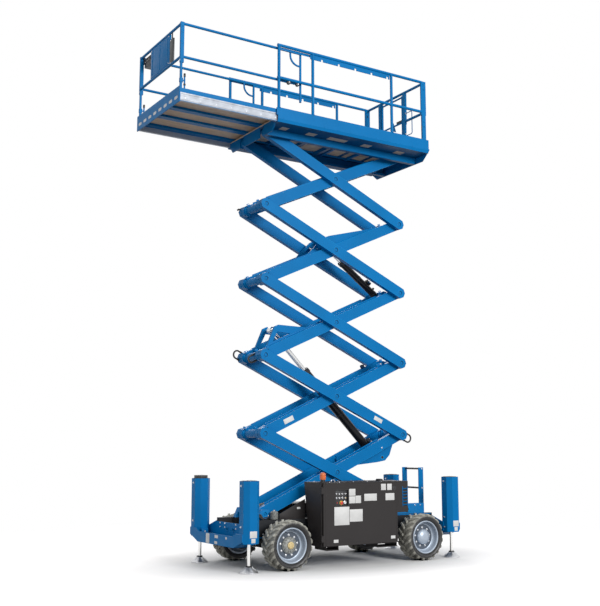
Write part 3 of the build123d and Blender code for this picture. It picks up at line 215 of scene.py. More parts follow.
BLUE = (0.0, 0.168, 0.45)
RECIPES = {
    # colour, lighter edge colour that is partly wear and partly painted highlight, roughness, shine, metallic
    paint: {
        "blue_paint": (BLUE, (0.02, 0.26, 0.6), 0.38, 0.1),
        # painted shade: a darker copy of the blue paint, for recesses and parts that sit in shade
        "deep_blue": ((0.0, 0.075, 0.2), (0.0, 0.12, 0.3), 0.4, 0.2),
        # painted highlight: a lighter copy of the blue paint, for edges, strips and rings that catch the
        # light
        "bar_edge": ((0.004, 0.235, 0.58), (0.006, 0.245, 0.6), 0.4, 0.1),
        "black_paint": ((0.026, 0.023, 0.023), (0.09, 0.083, 0.08), 0.45, 0.22),
        "disc_grey": ((0.085, 0.105, 0.135), (0.2, 0.22, 0.24), 0.5, 0.3),
        "rim_paint": ((0.44, 0.51, 0.6), (0.68, 0.72, 0.76), 0.36, 0.5, 0.3),
        "axle_paint": ((0.02, 0.022, 0.026), (0.08, 0.08, 0.08), 0.45, 0.25),
        "cylinder_black": ((0.008, 0.008, 0.01), (0.05, 0.045, 0.04), 0.3, 0.2),
    },
    # colour, roughness, grain's scale and strength, metallic, tarnish, stretch
    bright_metal: {
        "hub_metal": ((0.36, 0.37, 0.35), 0.55, 60.0, 0.3, 0.2, 0.35),
        "chrome_rod": ((0.8, 0.8, 0.79), 0.13, 60.0, 0.03, 1.0, 0.8, (8, 8, 1)),
        "pad_alloy": ((0.72, 0.73, 0.75), 0.34, 90.0, 0.3),
        "alloy_beam": ((0.4, 0.43, 0.48), 0.5, 30.0, 0.03, 0.3, 0.88, (0.04, 5, 5)),
        "zinc_yellow": ((0.66, 0.52, 0.26), 0.45, 70.0, 0.12, 0.35),
        "bolt_zinc": ((0.66, 0.67, 0.69), 0.3, 150.0, 0.1),
    },
    # colour, roughness, grain's strength and scale, coat, transmission
    plastic: {
        "amber_lens": ((0.92, 0.19, 0.03), 0.24, 0.05, 200.0, 0.5, 0.25),
        "black_plastic": ((0.014, 0.014, 0.016), 0.42, 0.15, 420.0),
        "hose_rubber": ((0.012, 0.012, 0.013), 0.5, 0.5, 600.0),
        "label_white": ((0.7, 0.7, 0.69), 0.4, 0.03, 300.0, 0.2),
        "stop_red": ((0.62, 0.02, 0.015), 0.3, 0.03, 200.0, 0.4),
        "safety_yellow": ((0.75, 0.48, 0.02), 0.35, 0.03, 200.0, 0.3),
    },
    tyre_rubber: {"tyre_rubber": ()},
    plywood: {"deck_plywood": ()},
}
FINISH = {name: make(name, *values) for make, rows in RECIPES.items() for name, values in rows.items()}
# which record slot stands for a finish that only small fittings have
SLOT_OF = {
    "bar_edge": "blue_paint",
    "deep_blue": "blue_paint",
    "hub_metal": "rim_paint",
    "disc_grey": "rim_paint",
    "hose_rubber": "black_plastic",
    "label_white": "alloy_beam",
    "zinc_yellow": "pad_alloy",
    "bolt_zinc": "pad_alloy",
    "stop_red": "amber_lens",
    "safety_yellow": "amber_lens",
}
# front panel of the sliding deck: its face, and the pitch, first end and height of its row of slots
PANEL_X, SLOT_PITCH, SLOT_START, SLOT_Z = 2.848, 0.176, 0.704, PIN["platform_pin"].z + 0.086


def marked(name, start, colour, mask):
    """Copy of a finish that turns to another colour where the mask over the node's coordinates is 1."""
    f = Finish(name, FINISH[start])
    below = f.shader.inputs["Base Color"].links[0].from_socket
    f.colour(f.mix(mask(f, *f.node("ShaderNodeSeparateXYZ", Vector=f.coords).outputs), below, rgba(colour)))
    return f.material


def pin_and_track(f, x, y, z):
    """The chassis round the arms' front pins and along the roller tracks."""
    front = f.math("MULTIPLY", f.math("GREATER_THAN", x, 1.185), f.math("GREATER_THAN", z, 0.64))
    track = f.math("MULTIPLY", f.math("LESS_THAN", x, -0.8), f.math("GREATER_THAN", z, 0.642))
    return f.math("MAXIMUM", front, track)


def underside_shade(f, *place):
    """Painted shade on the faces that look down: a mask that rises to 0.8 on undersides."""
    normal = f.node("ShaderNodeSeparateXYZ", Vector=f.node("ShaderNodeNewGeometry").outputs["Normal"])
    return f.ramp(normal.outputs[2], -0.3, -0.8, 0.0, 0.8)


def slot_rims(f, x, y, z):
    """Oval bands round the slots of the sliding deck's front panel."""
    half_run, radius = 0.03, 0.0215
    origin = frame["nodes"]["extension_frame"].matrix_world.translation
    row = f.math("MODULO", f.math("ADD", y, origin.y + SLOT_START), SLOT_PITCH)
    from_middle = f.math("ABSOLUTE", f.math("SUBTRACT", row, SLOT_PITCH / 2))
    across = f.math("MAXIMUM", f.math("SUBTRACT", from_middle, half_run), 0.0)
    up = f.math("SUBTRACT", z, SLOT_Z - origin.z)
    reach = f.math("SQRT", f.math("ADD", f.math("MULTIPLY", across, across), f.math("MULTIPLY", up, up)))
    on_face = f.math("GREATER_THAN", x, PANEL_X - 0.002 - origin.x)
    return f.math("MULTIPLY", f.math("LESS_THAN", reach, radius), on_face)


def dress_frame():
    """Every carried-over node gets the finish of its slot, and three of them have more on it: painted shade
    under the platform, two-tone paint on the chassis, and bands round the sliding deck's slots.
    """
    looks = {part["node"]: FINISH[part["material_slot"]] for part in frame["record"]["subparts"]}
    # painted shade: the platform's undersides turn darker blue
    looks["platform_frame"] = marked("platform_shade", "blue_paint", (0.0, 0.045, 0.12), underside_shade)
    looks["chassis_frame"] = marked("chassis_two_tone", "axle_paint", BLUE, pin_and_track)
    looks["extension_frame"] = marked("panel_marks", "blue_paint", (0.72, 0.71, 0.68), slot_rims)
    for name, obj in frame["nodes"].items():
        obj.data.materials.clear()
        obj.data.materials.append(looks[name])


dress_frame()


# ------------------------------------------------------------------ shapes
# the finishes that fittings have; two of them are a lighter and a darker copy of the blue paint, as painted
# highlight and painted shade
PAINT, SHADED, HIGHLIGHT, BLACK, AXLE = "blue_paint", "deep_blue", "bar_edge", "black_paint", "axle_paint"
PLASTIC, RUBBER, LABEL, TYRE, RIM = "black_plastic", "hose_rubber", "label_white", "tyre_rubber", "rim_paint"
ZINC, YELLOW, CHROME, ALLOY, HUB = "bolt_zinc", "zinc_yellow", "chrome_rod", "pad_alloy", "hub_metal"
STOP, SAFETY = "stop_red", "safety_yellow"


def circle(centre, axis, radius, sides, turn=0.0):
    """Points round an axis."""
    axis = Vector(axis).normalized()
    side = (Z if abs(axis.z) < 0.9 else X).cross(axis).normalized()
    over = axis.cross(side)
    angles = [turn + math.tau * n / sides for n in range(sides)]
    return [Vector(centre) + radius * (math.cos(a) * side + math.sin(a) * over) for a in angles]


def rounded(points, bend, steps=5):
    """A line of points with its corners turned into arcs."""
    points = [Vector(p) for p in points]
    path = [points[0]]
    for before, corner, after in zip(points, points[1:], points[2:]):
        a, b = (before - corner).normalized(), (after - corner).normalized()
        half = a.angle(b) / 2
        reach = min(bend / math.tan(half), 0.49 * (before - corner).length, 0.49 * (after - corner).length)
        radius = reach * math.tan(half)
        centre = corner + (a + b).normalized() * radius / math.sin(half)
        start, end = (corner + way * reach - centre for way in (a, b))
        for n in range(steps + 1):
            path.append(centre + radius * start.normalized().slerp(end.normalized(), n / steps))
    path.append(points[-1])
    return path


class Piece:
    """A mesh of simple closed forms, each in its own finish, that rides on one body."""

    def __init__(self, name, body, at=None, hand=1):
        self.name, self.body, self.hand = name, body, hand
        self.at = at or Matrix.Identity(4)
        self.mesh = bmesh.new()
        self.finishes = []

    def both(self):
        """The left side, then the right one, where the sign of every y that is drawn with turns."""
        for self.hand in (1, -1):
            yield self.hand
        self.hand = 1

    def sided(self, p):
        return Vector((p[0], self.hand * p[1], p[2]))

    def skin(self, finish, rings, bevel=0.0, closed=False):
        """Faces from ring to ring, with a lid on each end unless the rings close up."""
        if finish not in self.finishes:
            self.finishes.append(finish)
        rows = [[self.mesh.verts.new(self.at @ Vector(p)) for p in ring] for ring in rings]
        faces = []
        for one, two in list(zip(rows, rows[1:])) + ([(rows[-1], rows[0])] if closed else []):
            for n in range(len(one)):
                m = (n + 1) % len(one)
                faces.append(self.mesh.faces.new((one[n], one[m], two[m], two[n])))
        if not closed:
            faces += [self.mesh.faces.new(rows[0]), self.mesh.faces.new(rows[-1])]
        for face in faces:
            face.material_index = self.finishes.index(finish)
        bmesh.ops.recalc_face_normals(self.mesh, faces=faces)
        if bevel:
            edges = {e for f in faces for e in f.edges if e.is_manifold and e.calc_face_angle(0) > 0.5}
            bmesh.ops.bevel(
                self.mesh, geom=list(edges), offset=bevel, segments=2, profile=0.6,
                affect="EDGES", clamp_overlap=True, material=-1,
            )

    def box(self, finish, low, high, bevel=0.0):
        (x0, y0, z0), (x1, y1, z1) = self.sided(low), self.sided(high)
        ends = [[(x, y0, z0), (x, y1, z0), (x, y1, z1), (x, y0, z1)] for x in (x0, x1)]
        self.skin(finish, ends, bevel)

    def rod(self, finish, start, end, radius, sides, bevel=0.0, turn=0.0):
        start, end = self.sided(start), self.sided(end)
        self.skin(finish, [circle(p, end - start, radius, sides, turn) for p in (start, end)], bevel)

    def turned(self, finish, centre, axis, stations, sides, closed=False):
        """Stations are (radius, distance along the axis)."""
        centre, axis = self.sided(centre), self.sided(axis).normalized()
        rings = [circle(centre + axis * out, axis, radius, sides) for radius, out in stations]
        self.skin(finish, rings, closed=closed)

    def prism(self, finish, outline, run, bevel):
        outline = [self.sided(p) for p in outline]
        self.skin(finish, [outline, [p + self.sided(run) for p in outline]], bevel)

    def line(self, finish, points, radius, sides=10):
        """Round tube along points."""
        points = [self.sided(p) for p in points]
        rings = []
        side = None
        for n, point in enumerate(points):
            run = (points[min(n + 1, len(points) - 1)] - points[max(n - 1, 0)]).normalized()
            side = run.orthogonal() if side is None else side - run * side.dot(run)
            side.normalize()
            over = run.cross(side)
            angles = [math.tau * k / sides for k in range(sides)]
            rings.append([point + radius * (math.cos(a) * side + math.sin(a) * over) for a in angles])
        self.skin(finish, rings)

    def bolt(self, at, axis, size, finish=ZINC):
        """Hex head on a washer, turned at random."""
        axis = Vector(axis).normalized()
        at = Vector(at)
        washer, head = at + axis * size * 0.2, at + axis * size * 0.9
        self.rod(finish, at - axis * 0.001, washer, size * 1.15, 16)
        self.rod(finish, washer, head, size * 0.85, 6, size * 0.08, random.random())

    def done(self, *replaced):
        """The finished object, on its body, in place of the CAD nodes named."""
        data = bpy.data.meshes.new(self.name)
        self.mesh.to_mesh(data)
        self.mesh.free()
        for finish in self.finishes:
            data.materials.append(FINISH[finish])
        data.polygons.foreach_set("use_smooth", [True] * len(data.polygons))
        data.set_sharp_from_angle(angle=math.radians(34))
        made = bpy.data.objects.new(self.name, data)
        bpy.context.collection.objects.link(made)
        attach(made, self.body)
        SLOT_OF.get(self.finishes[0], self.finishes[0])
        if replaced:
            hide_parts(*replaced)


# ------------------------------------------------------------------ wheels
# radius, outward
TYRE_STATIONS = [
    (0.2255, -0.118), (0.24, -0.121), (0.243, -0.132), (0.258, -0.143), (0.281, -0.1495), (0.296, -0.145),
    (0.305, -0.13), (0.3075, -0.06), (0.3075, 0.06), (0.305, 0.13), (0.296, 0.145), (0.281, 0.1495),
    (0.276, 0.1475), (0.258, 0.1435), (0.255, 0.1405), (0.246, 0.134), (0.24, 0.121), (0.2255, 0.118),
]
# radius, outward: lip, well, disc and back
RIM_STATIONS = [
    (0.2245, 0.117), (0.234, 0.12), (0.234, 0.126), (0.226, 0.131), (0.218, 0.129), (0.212, 0.12),
    (0.209, 0.1), (0.206, 0.07), (0.197, 0.056), (0.19, 0.046), (0.18, 0.041), (0.15, 0.043),
    (0.128, 0.04), (0.0405, 0.04), (0.0405, 0.028), (0.17, 0.026), (0.19, 0.01), (0.205, -0.11),
    (0.214, -0.126), (0.234, -0.126), (0.234, -0.12), (0.2245, -0.117),
]
# outward, tread radius, root radius, half the width there
LUG_STATIONS = [
    (0.008, 0.329, 0.302, 0.019), (0.06, 0.3298, 0.302, 0.02), (0.112, 0.329, 0.3, 0.021),
    (0.132, 0.3235, 0.296, 0.022), (0.1455, 0.306, 0.286, 0.022), (0.15, 0.283, 0.272, 0.019),
]
LUGS, TYRE_HALF = 20, 0.15
LUG_TRAIL = 1.3 * 0.068 / 0.3065  # angle by which a lug's outer end trails its middle


def wheel(name):
    """Tyre with slanting lugs, deep rim with its nuts, and the hub's cover."""
    middle = PIN[f"wheel_{name}_spin"]
    side = 1 if middle.y > 0 else -1
    body = f"wheel_{name}"

    def at(angle, radius, out):
        return middle + Vector((radius * math.sin(angle), side * out, radius * math.cos(angle)))

    tyre = Piece(f"lugged_tyre_{name}", body)
    tyre.turned(TYRE, middle, Y * side, TYRE_STATIONS, 80, closed=True)
    for n in range(LUGS):
        for half in (1, -1):
            start = math.tau * (n + (0.25 if half > 0 else 0.75)) / LUGS
            rings = []
            for out, top, root, width in LUG_STATIONS:
                lag = start - LUG_TRAIL * (out / TYRE_HALF) ** 0.8
                reach = width / top
                section = ((-1.25, root), (-0.85, top), (0.85, top), (1.25, root))
                rings.append([at(lag + reach * share, radius, half * out) for share, radius in section])
            tyre.skin(TYRE, rings, 0.0022)
    tyre.done(f"tyre_{name}")

    rim = Piece(f"dished_rim_{name}", body)
    rim.turned(RIM, middle, Y * side, RIM_STATIONS, 72, closed=True)
    # darker ring on the disc deep in the dish, painted shade
    shade = [(0.178, 0.0405), (0.178, 0.0425), (0.1, 0.0445), (0.1, 0.0405)]
    rim.turned("disc_grey", middle, Y * side, shade, 48, closed=True)
    for n in range(9):
        rim.bolt(at(math.tau * n / 9, 0.132, 0.0425), Y * side, 0.013)
    rim.line(AXLE, [at(0.4, 0.2, 0.06), at(0.4, 0.188, 0.085), at(0.4, 0.183, 0.1)], 0.004, 8)
    rim.done(f"rim_{name}")

    hub = Piece(f"hub_cover_{name}", body)
    if middle.x > 0:
        drum = [
            (0.106, 0.038), (0.112, 0.044), (0.112, 0.06), (0.102, 0.074),
            (0.076, 0.0905), (0.052, 0.0915), (0.046, 0.0915),
        ]
        hub.turned(HUB, middle, Y * side, drum, 48)
        for n in range(14):
            hub.bolt(at(math.tau * (n + 0.5) / 14, 0.091, 0.0805), Y * side, 0.0095, HUB)
        cap = [(0.047, 0.0905), (0.049, 0.093), (0.049, 0.101), (0.042, 0.108), (0.03, 0.11), (0.0015, 0.11)]
        hub.turned(YELLOW, middle, Y * side, cap, 36)
        for n in range(6):
            hub.bolt(at(math.tau * n / 6, 0.03, 0.1095), Y * side, 0.0075, YELLOW)
    else:
        dome = [
            (0.104, 0.038), (0.109, 0.045), (0.109, 0.064), (0.104, 0.078), (0.092, 0.087), (0.086, 0.092),
            (0.066, 0.1), (0.044, 0.108), (0.036, 0.1085), (0.0015, 0.109),
        ]
        hub.turned(RIM, middle, Y * side, dome, 48)
        for n in range(10):
            hub.bolt(at(math.tau * (n + 0.5) / 10, 0.098, 0.082), Y * side, 0.007, RIM)
    hub.done()


for corner in ("front_left", "front_right", "rear_left", "rear_right"):
    wheel(corner)


# ------------------------------------------------------------------ scissor stack
FRONT_PIN, REAR_PIN = PIN["lift"], PIN["rear_pin_1"]
SPAN, STAGE_H = (REAR_PIN - FRONT_PIN).length, REAR_PIN.z - FRONT_PIN.z
COS, SIN = (FRONT_PIN.x - REAR_PIN.x) / SPAN, STAGE_H / SPAN
# across the machine: inner bar's inside, outer bar's outside and the pins' ends; along a bar: its strips' end
BAR_IN, BAR_OUT, PIN_END, STRIP_END = 0.19, 0.344, 0.336, SPAN - 0.37
# the lower cylinder's foot on the first inner bars: along, up
LOWER_EYE = (2.262, -0.197)


def on_bar(kind, stage):
    """Matrix from (along, across, up) on a bar to the row frame; along starts at its lower pin."""
    ahead, foot = (-1, FRONT_PIN) if kind == "inner" else (1, REAR_PIN)
    along, up = (ahead * COS, 0, SIN), (-ahead * SIN, 0, COS)
    place = Matrix((along, (0, 1, 0), up)).transposed().to_4x4()
    place.translation = (foot.x, 0, FRONT_PIN.z + (stage - 1) * STAGE_H)
    return place


def ring(piece, finish, centre, axis, low, high, inner, outer, soft=0.002, sides=32):
    """Flat ring with softened outer edges, between two distances along the axis."""
    profile = [(inner, low), (inner, high), (outer - soft, high), (outer, high - soft), (outer, low)]
    piece.turned(finish, centre, axis, profile, sides, closed=True)


def strip(trim, inside, outside):
    """Lighter strips along the upper and lower edges of a bar's faces, painted highlights where those edges
    catch the light, and an inner bar's upper lip.
    """
    if inside < 0.2:
        trim.box(PAINT, (0.12, inside, 0.079), (STRIP_END, inside + 0.008, 0.0985), 0.002)
    for low, high in ((0.0735, 0.0806), (-0.0806, -0.0745)):
        for face in (inside, outside):
            trim.box(HIGHLIGHT, (0.0, face - 0.0008, low), (STRIP_END, face + 0.0008, high), 0.0006)


def outer_trim(stage):
    """Rings round the pins in painted highlight and painted shade, painted highlight strips along the edges,
    ears over the front pins and a blank label.
    """
    trim = Piece(f"outer_bar_trim_{stage}", f"outer_{stage}", on_bar("outer", stage))
    spots = [SPAN / 2] + ([0.0] if stage > 1 else []) + ([SPAN] if stage < 5 else [])
    for _ in trim.both():
        for along in spots:
            # lighter outer ring as painted highlight, darker inner ring as painted shade round the bore
            ring(trim, HIGHLIGHT, (along, 0, 0), Y, BAR_OUT - 0.002, BAR_OUT + 0.003, 0.036, 0.044)
            ring(trim, SHADED, (along, 0, 0), Y, BAR_OUT - 0.002, BAR_OUT + 0.0022, 0.0282, 0.037)
        strip(trim, 0.27, BAR_OUT)
        if stage < 5:
            # ear with its bolt above the front pin
            trim.box(PAINT, (SPAN - 0.034, 0.296, 0.066), (SPAN + 0.026, 0.334, 0.108), 0.006)
            # bolt in the darker copy of the blue paint, as painted shade
            trim.bolt((SPAN - 0.004, 0.334, 0.094), Y, 0.008, SHADED)
    if stage == 4:
        # hose elbow at the far front end
        elbow = [(SPAN + 0.07, -0.318, 0.01), (SPAN + 0.108, -0.318, -0.004), (SPAN + 0.118, -0.318, -0.028)]
        trim.line(RUBBER, rounded(elbow, 0.012), 0.0125, 14)
    if stage == 2:
        trim.box(LABEL, (0.435, BAR_OUT - 0.001, -0.022), (0.592, BAR_OUT + 0.0012, 0.038), 0.0004)
    trim.done()


def inner_trim(stage):
    """Pin discs, the cross tubes' collars with their hose ears, and the hoses at two stages."""
    trim = Piece(f"inner_bar_trim_{stage}", f"inner_{stage}", on_bar("inner", stage))
    for _ in trim.both():
        for along in (0.0, SPAN / 2) + ((SPAN,) if stage < 5 else ()):
            stations = [
                (0.0262, PIN_END - 0.001), (0.0262, PIN_END + 0.003), (0.021, PIN_END + 0.0045),
                (0.018, PIN_END + 0.002), (0.004, PIN_END + 0.002),
            ]
            trim.turned(PAINT, (along, 0, 0), Y, stations, 28)
            # bolt in the lighter copy of the blue paint, as painted highlight
            trim.bolt((along, PIN_END + 0.001, 0), Y, 0.0075, HIGHLIGHT)
        for along in (0.0, SPAN):
            tube = 0.05 if stage == 5 and along else 0.058
            # lighter ring round the collar, a painted highlight
            ring(trim, HIGHLIGHT, (along, 0, 0), Y, 0.166, BAR_IN + 0.001, tube - 0.001, tube + 0.013)
            ring(trim, PAINT, (along, 0, 0), Y, 0.118, 0.124, tube - 0.001, tube + 0.0025)
            if stage < 5 or not along:
                # hose ear on the collar
                trim.box(PAINT, (along - 0.022, 0.14, 0.052), (along + 0.022, 0.148, 0.104), 0.003)
                trim.bolt((along, 0.14, 0.09), -Y, 0.007)
        strip(trim, BAR_IN, 0.264)
    if stage == 1:
        for _ in trim.both():
            foot = (LOWER_EYE[0], 0, LOWER_EYE[1])
            # lighter ring round the cylinder's foot, a painted highlight
            ring(trim, HIGHLIGHT, foot, Y, 0.183, 0.188, 0.022, 0.038)
            trim.turned(BLACK, foot, Y, [(0.022, 0.183), (0.022, 0.1865), (0.004, 0.1868)], 24)
            trim.bolt((LOWER_EYE[0], 0.264, -0.04), Y, 0.01)
        # hoses clipped over the bars' feet
        for n in range(5):
            y, high = 0.07 + 0.024 * n, 0.072 + 0.006 * (n % 2)
            path = [(-0.075, y, -0.01), (-0.07, y, high), (0.07, y + 0.006, 0.08), (0.19, y + 0.004, 0.058)]
            trim.line(RUBBER, rounded(path, 0.05), 0.0105, 10)
        trim.box(PLASTIC, (0.03, 0.055, 0.056), (0.056, 0.185, 0.094), 0.004)
    if stage == 2:
        trim.box(LABEL, (0.385, 0.2635, -0.035), (0.555, 0.2655, 0.035), 0.0004)
        # hose guide and its roller, and an ear with a bolt, on the upper edge
        for y in (-0.209, -0.245):
            # guide plates in the darker copy of the blue paint, as painted shade
            trim.box(SHADED, (2.31, y - 0.004, 0.079), (2.366, y + 0.004, 0.135), 0.003)
        trim.rod(PLASTIC, (2.338, -0.2, 0.122), (2.338, -0.254, 0.122), 0.018, 20, 0.003)
        trim.box(PAINT, (2.29, 0.196, 0.078), (2.45, 0.206, 0.128), 0.004)
        trim.bolt((2.375, 0.206, 0.104), Y, 0.012)
    trim.done()


def loop(name, kind, stage, y, pin, reach, half):
    """Hydraulic hose that loops round a pin, with its crimped ends."""
    hose = Piece(name, f"{kind}_{stage}", on_bar(kind, stage))
    away = -1 if pin < SPAN / 2 else 1
    corners = ((0.028, half), (reach, half), (reach, -half), (0.028, -half))
    path = rounded([(pin + away * out, y, up) for out, up in corners], half * 0.95, 10)
    hose.line(RUBBER, path, 0.0125, 14)
    for up in (half, -half):
        start, end = (pin + away * 0.06, y, up), (pin + away * 0.094, y, up)
        hose.rod(AXLE, start, end, 0.0145, 16, 0.0015)
        hose.rod(AXLE, (pin + away * 0.03, y, up), start, 0.0125, 6, 0.001)
    hose.done()


VALVE_AT = 0.25


def cylinder(name, base, eye, length, barrel_r, rod_r):
    """Gland, weld bands and valve block of a lift cylinder; base and eye are (stage, along, up)."""
    base, eye = (on_bar("inner", s) @ Vector((a, 0, u)) for s, a, u in (base, eye))
    run = (eye - base).normalized()
    over = Vector((-run.z, 0, run.x))
    trim = Piece(f"{name}_cylinder_gland", f"{name}_barrel")
    gland = [
        (rod_r + 0.0012, length - 0.062), (barrel_r - 0.001, length - 0.062),
        (barrel_r + 0.007, length - 0.06), (barrel_r + 0.007, length - 0.012),
        (barrel_r + 0.003, length - 0.008), (barrel_r + 0.003, length + 0.004),
        (barrel_r - 0.006, length + 0.008), (rod_r + 0.008, length + 0.008), (rod_r + 0.0012, length + 0.005),
    ]
    trim.turned(AXLE, base, run, gland, 40, closed=True)
    for n in range(6):
        turn = Matrix.Rotation(math.tau * n / 6, 3, run)
        trim.bolt(base + run * (length + 0.007) + turn @ (over * (barrel_r - 0.012)), run, 0.007)
    ring(trim, AXLE, base, run, 0.066, 0.078, barrel_r - 0.002, barrel_r + 0.004, 0.003, 40)
    half = length * 0.5
    ring(trim, AXLE, base, run, half, half + 0.03, barrel_r - 0.001, barrel_r + 0.0025, 0.001, 40)
    around = Matrix((run, Y, over)).transposed().to_4x4()
    around.translation = base + run * VALVE_AT + over * (barrel_r + 0.024)
    port = Piece(f"{name}_cylinder_valve", f"{name}_barrel", around)
    port.box(AXLE, (-0.045, -0.036, -0.024), (0.045, 0.036, 0.02), 0.003)
    # boss in the darker copy of the blue paint, as painted shade
    port.rod(SHADED, (0.0, 0.034, -0.002), (0.0, 0.064, -0.002), 0.017, 24, 0.002)
    port.rod(ZINC, (0.0, 0.063, -0.002), (0.0, 0.074, -0.002), 0.011, 6, 0.001)
    port.rod(AXLE, (-0.024, 0.0, 0.018), (-0.024, 0.0, 0.046), 0.012, 6, 0.001)
    port.rod(PLASTIC, (0.024, 0.0, 0.018), (0.024, 0.0, 0.04), 0.014, 20, 0.002)
    for x, y in ((-0.036, -0.028), (0.036, -0.028), (-0.036, 0.028), (0.036, 0.028)):
        port.bolt((x, y, 0.02), Z, 0.006)
    port.done()
    trim.done()


for number in range(1, 6):
    outer_trim(number)
    inner_trim(number)
loop("hose_loop_inner", "inner", 3, 0.12, 0.0, 0.165, 0.046)
loop("hose_loop_near", "outer", 2, 0.307, 0.0, 0.19, 0.058)
loop("hose_loop_far", "outer", 2, -0.307, SPAN, 0.175, 0.058)
cylinder("lower", (1, *LOWER_EYE), (3, 0.426, 0.25), 1.81, 0.063, 0.036)
cylinder("upper", (3, 2.435, 0.06), (4, 1.345, 0.19), 0.83, 0.052, 0.028)


# ------------------------------------------------------------------ outriggers and bumpers
COLUMN_X, COLUMN_Y, COLUMN_HALF, COLUMN_CUT = (1.724, -1.741), 0.718, 0.118, 0.062
COLUMN_LOW, COLUMN_HIGH = 0.375, 1.18


def octagon(x, y, half, cut, z):
    """Level outline of a square with cut corners."""
    corners = [(-half, cut - half), (cut - half, -half), (half - cut, -half), (half, cut - half)]
    return [(x + a, y + b, z) for a, b in corners] + [(x - a, y - b, z) for a, b in corners]


def outrigger(x, side):
    """Chrome rod, ribbed alloy pad and the column's rim, bolts and blank labels."""
    y = side * COLUMN_Y
    name = ("front" if x > 0 else "rear") + ("_left" if side > 0 else "_right")
    away = 1 if x > 0 else -1
    leg = Piece(f"outrigger_rod_{name}", f"leg_{name}")
    leg.rod(CHROME, (x, y, 0.086), (x, y, 0.86), 0.0229, 36)
    leg.done(f"outrigger_{name}")
    pad = Piece(f"outrigger_pad_{name}", f"leg_{name}")
    profile = [
        (0.01, 0.0), (0.118, 0.0), (0.1245, 0.004), (0.1245, 0.013), (0.119, 0.018), (0.092, 0.04),
        (0.064, 0.062), (0.046, 0.076), (0.04, 0.08), (0.01, 0.08),
    ]
    pad.turned(ALLOY, (x, y, 0), Z, profile, 48)
    blade = [(0.04, 0.014), (0.116, 0.014), (0.116, 0.022), (0.09, 0.044), (0.049, 0.077), (0.04, 0.077)]
    for n in range(10):
        turn = Matrix.Translation((x, y, 0)) @ Matrix.Rotation(math.tau * (n + 0.5) / 10, 4, "Z")
        outline = [turn @ Vector((r, -0.004, z)) for r, z in blade]
        pad.prism(ALLOY, outline, turn.to_3x3() @ Vector((0, 0.008, 0)), 0.0015)
    collar = [
        (0.0235, 0.074), (0.041, 0.074), (0.043, 0.077), (0.043, 0.089), (0.036, 0.094), (0.0235, 0.094),
    ]
    pad.turned(AXLE, (x, y, 0), Z, collar, 36, closed=True)
    pad.done()

    trim = Piece(f"column_trim_{name}", "chassis")
    # rim: inset from the column's face, inset from its cut corners, height over its top
    rim = ((0.0105, 0.004, -0.016), (0.0105, 0.004, 0.0012), (0.0035, 0.001, 0.0012), (0.0035, 0.001, -0.001))
    rings = [octagon(x, y, COLUMN_HALF - a, COLUMN_CUT - b, COLUMN_HIGH + c) for a, b, c in rim]
    trim.skin(BLACK, rings)
    # the front right column's cap stands higher
    cap = 0.043 if x > 0 > side else 0.006
    lid = [octagon(x, y, 0.086, 0.04, z) for z in (COLUMN_HIGH - 0.016, COLUMN_HIGH + cap)]
    trim.skin(PLASTIC, lid, 0.003)
    for a, b in ((0.06, 0.055), (-0.06, 0.055), (0.06, -0.055), (-0.06, -0.055)):
        trim.bolt((x + a / 3, y + b / 3, COLUMN_HIGH + cap - 0.001), Z, 0.008)
    # bolts on the front face
    for z in (1.118, 0.59, 0.446):
        trim.bolt((x + COLUMN_HALF, y - side * 0.006, z), X, 0.0125)
    # blank labels at the foot, on the outer face
    face = y + side * COLUMN_HALF
    for x0, x1, z0, z1 in ((-0.052, 0.052, 0.455, 0.54), (-0.03, 0.03, 0.392, 0.446)):
        low, high = (x + away * x0, face - side * 0.002, z0), (x + away * x1, face + side * 0.0012, z1)
        trim.box(LABEL, low, high, 0.0004)
    # scraper ring round the rod
    ring(trim, AXLE, (x, y, 0), Z, COLUMN_LOW - 0.004, COLUMN_LOW + 0.002, 0.0245, 0.044, 0.003)
    # seams where the column is welded to the beam
    for z in (0.378, 0.498):
        seam_x = x + away * 0.112
        trim.rod(PAINT, (seam_x, y - side * 0.056, z), (seam_x, y + side * 0.052, z), 0.006, 10)
    trim.done()


for end_x in COLUMN_X:
    for hand in (1, -1):
        outrigger(end_x, hand)


# y, z, width, height
BUMPER_LABELS = (
    (-0.215, 0.382, 0.105, 0.13), (0.045, 0.42, 0.095, 0.04),
    (0.03, 0.34, 0.08, 0.036), (0.33, 0.42, 0.045, 0.03),
)


def bumper_trim(x, name):
    """Bolts, rings, gussets and, in front, blank labels on the dished beam."""
    away = 1 if x > 0 else -1
    face = x + away * (COLUMN_HALF - 0.0005)
    trim = Piece(f"bumper_trim_{name}", "chassis")
    for y, z, wide, tall in BUMPER_LABELS if away > 0 else ():
        trim.box(LABEL, (1.855, y - wide / 2, z - tall / 2), (1.8572, y + wide / 2, z + tall / 2), 0.0004)
    inner = x - away * COLUMN_HALF
    for y in (-0.3, -0.16, 0.16, 0.3):
        for z in (0.52, 0.575):
            trim.bolt((inner + away * 0.012, y, z), (away, 0, 0), 0.011)
    for y in (-0.09, 0.09):
        ring(trim, PAINT, (inner + away * 0.012, y, 0.5), (away, 0, 0), -0.001, 0.006, 0.0205, 0.033, 0.002)
    for _ in trim.both():
        # gusset edges and the seam along the tray of the beam
        trim.rod(PAINT, (inner + away * 0.015, 0.4, 0.322), (face - away * 0.016, 0.4, 0.322), 0.004, 8)
        trim.box(PAINT, (x - 0.05, 0.56, 0.33), (x + 0.05, 0.59, 0.48), 0.004)
        for z in (0.372, 0.44):
            trim.bolt((x, 0.56, z), (0, -1, 0), 0.011)
    trim.done()


bumper_trim(COLUMN_X[0], "front")
bumper_trim(COLUMN_X[1], "rear")


# ------------------------------------------------------------------ chassis
AXLE_X, AXLE_Z, KINGPIN_Y = 1.145, 0.33, 0.56
RAIL_FACE = 0.426  # outer side of the chassis rails


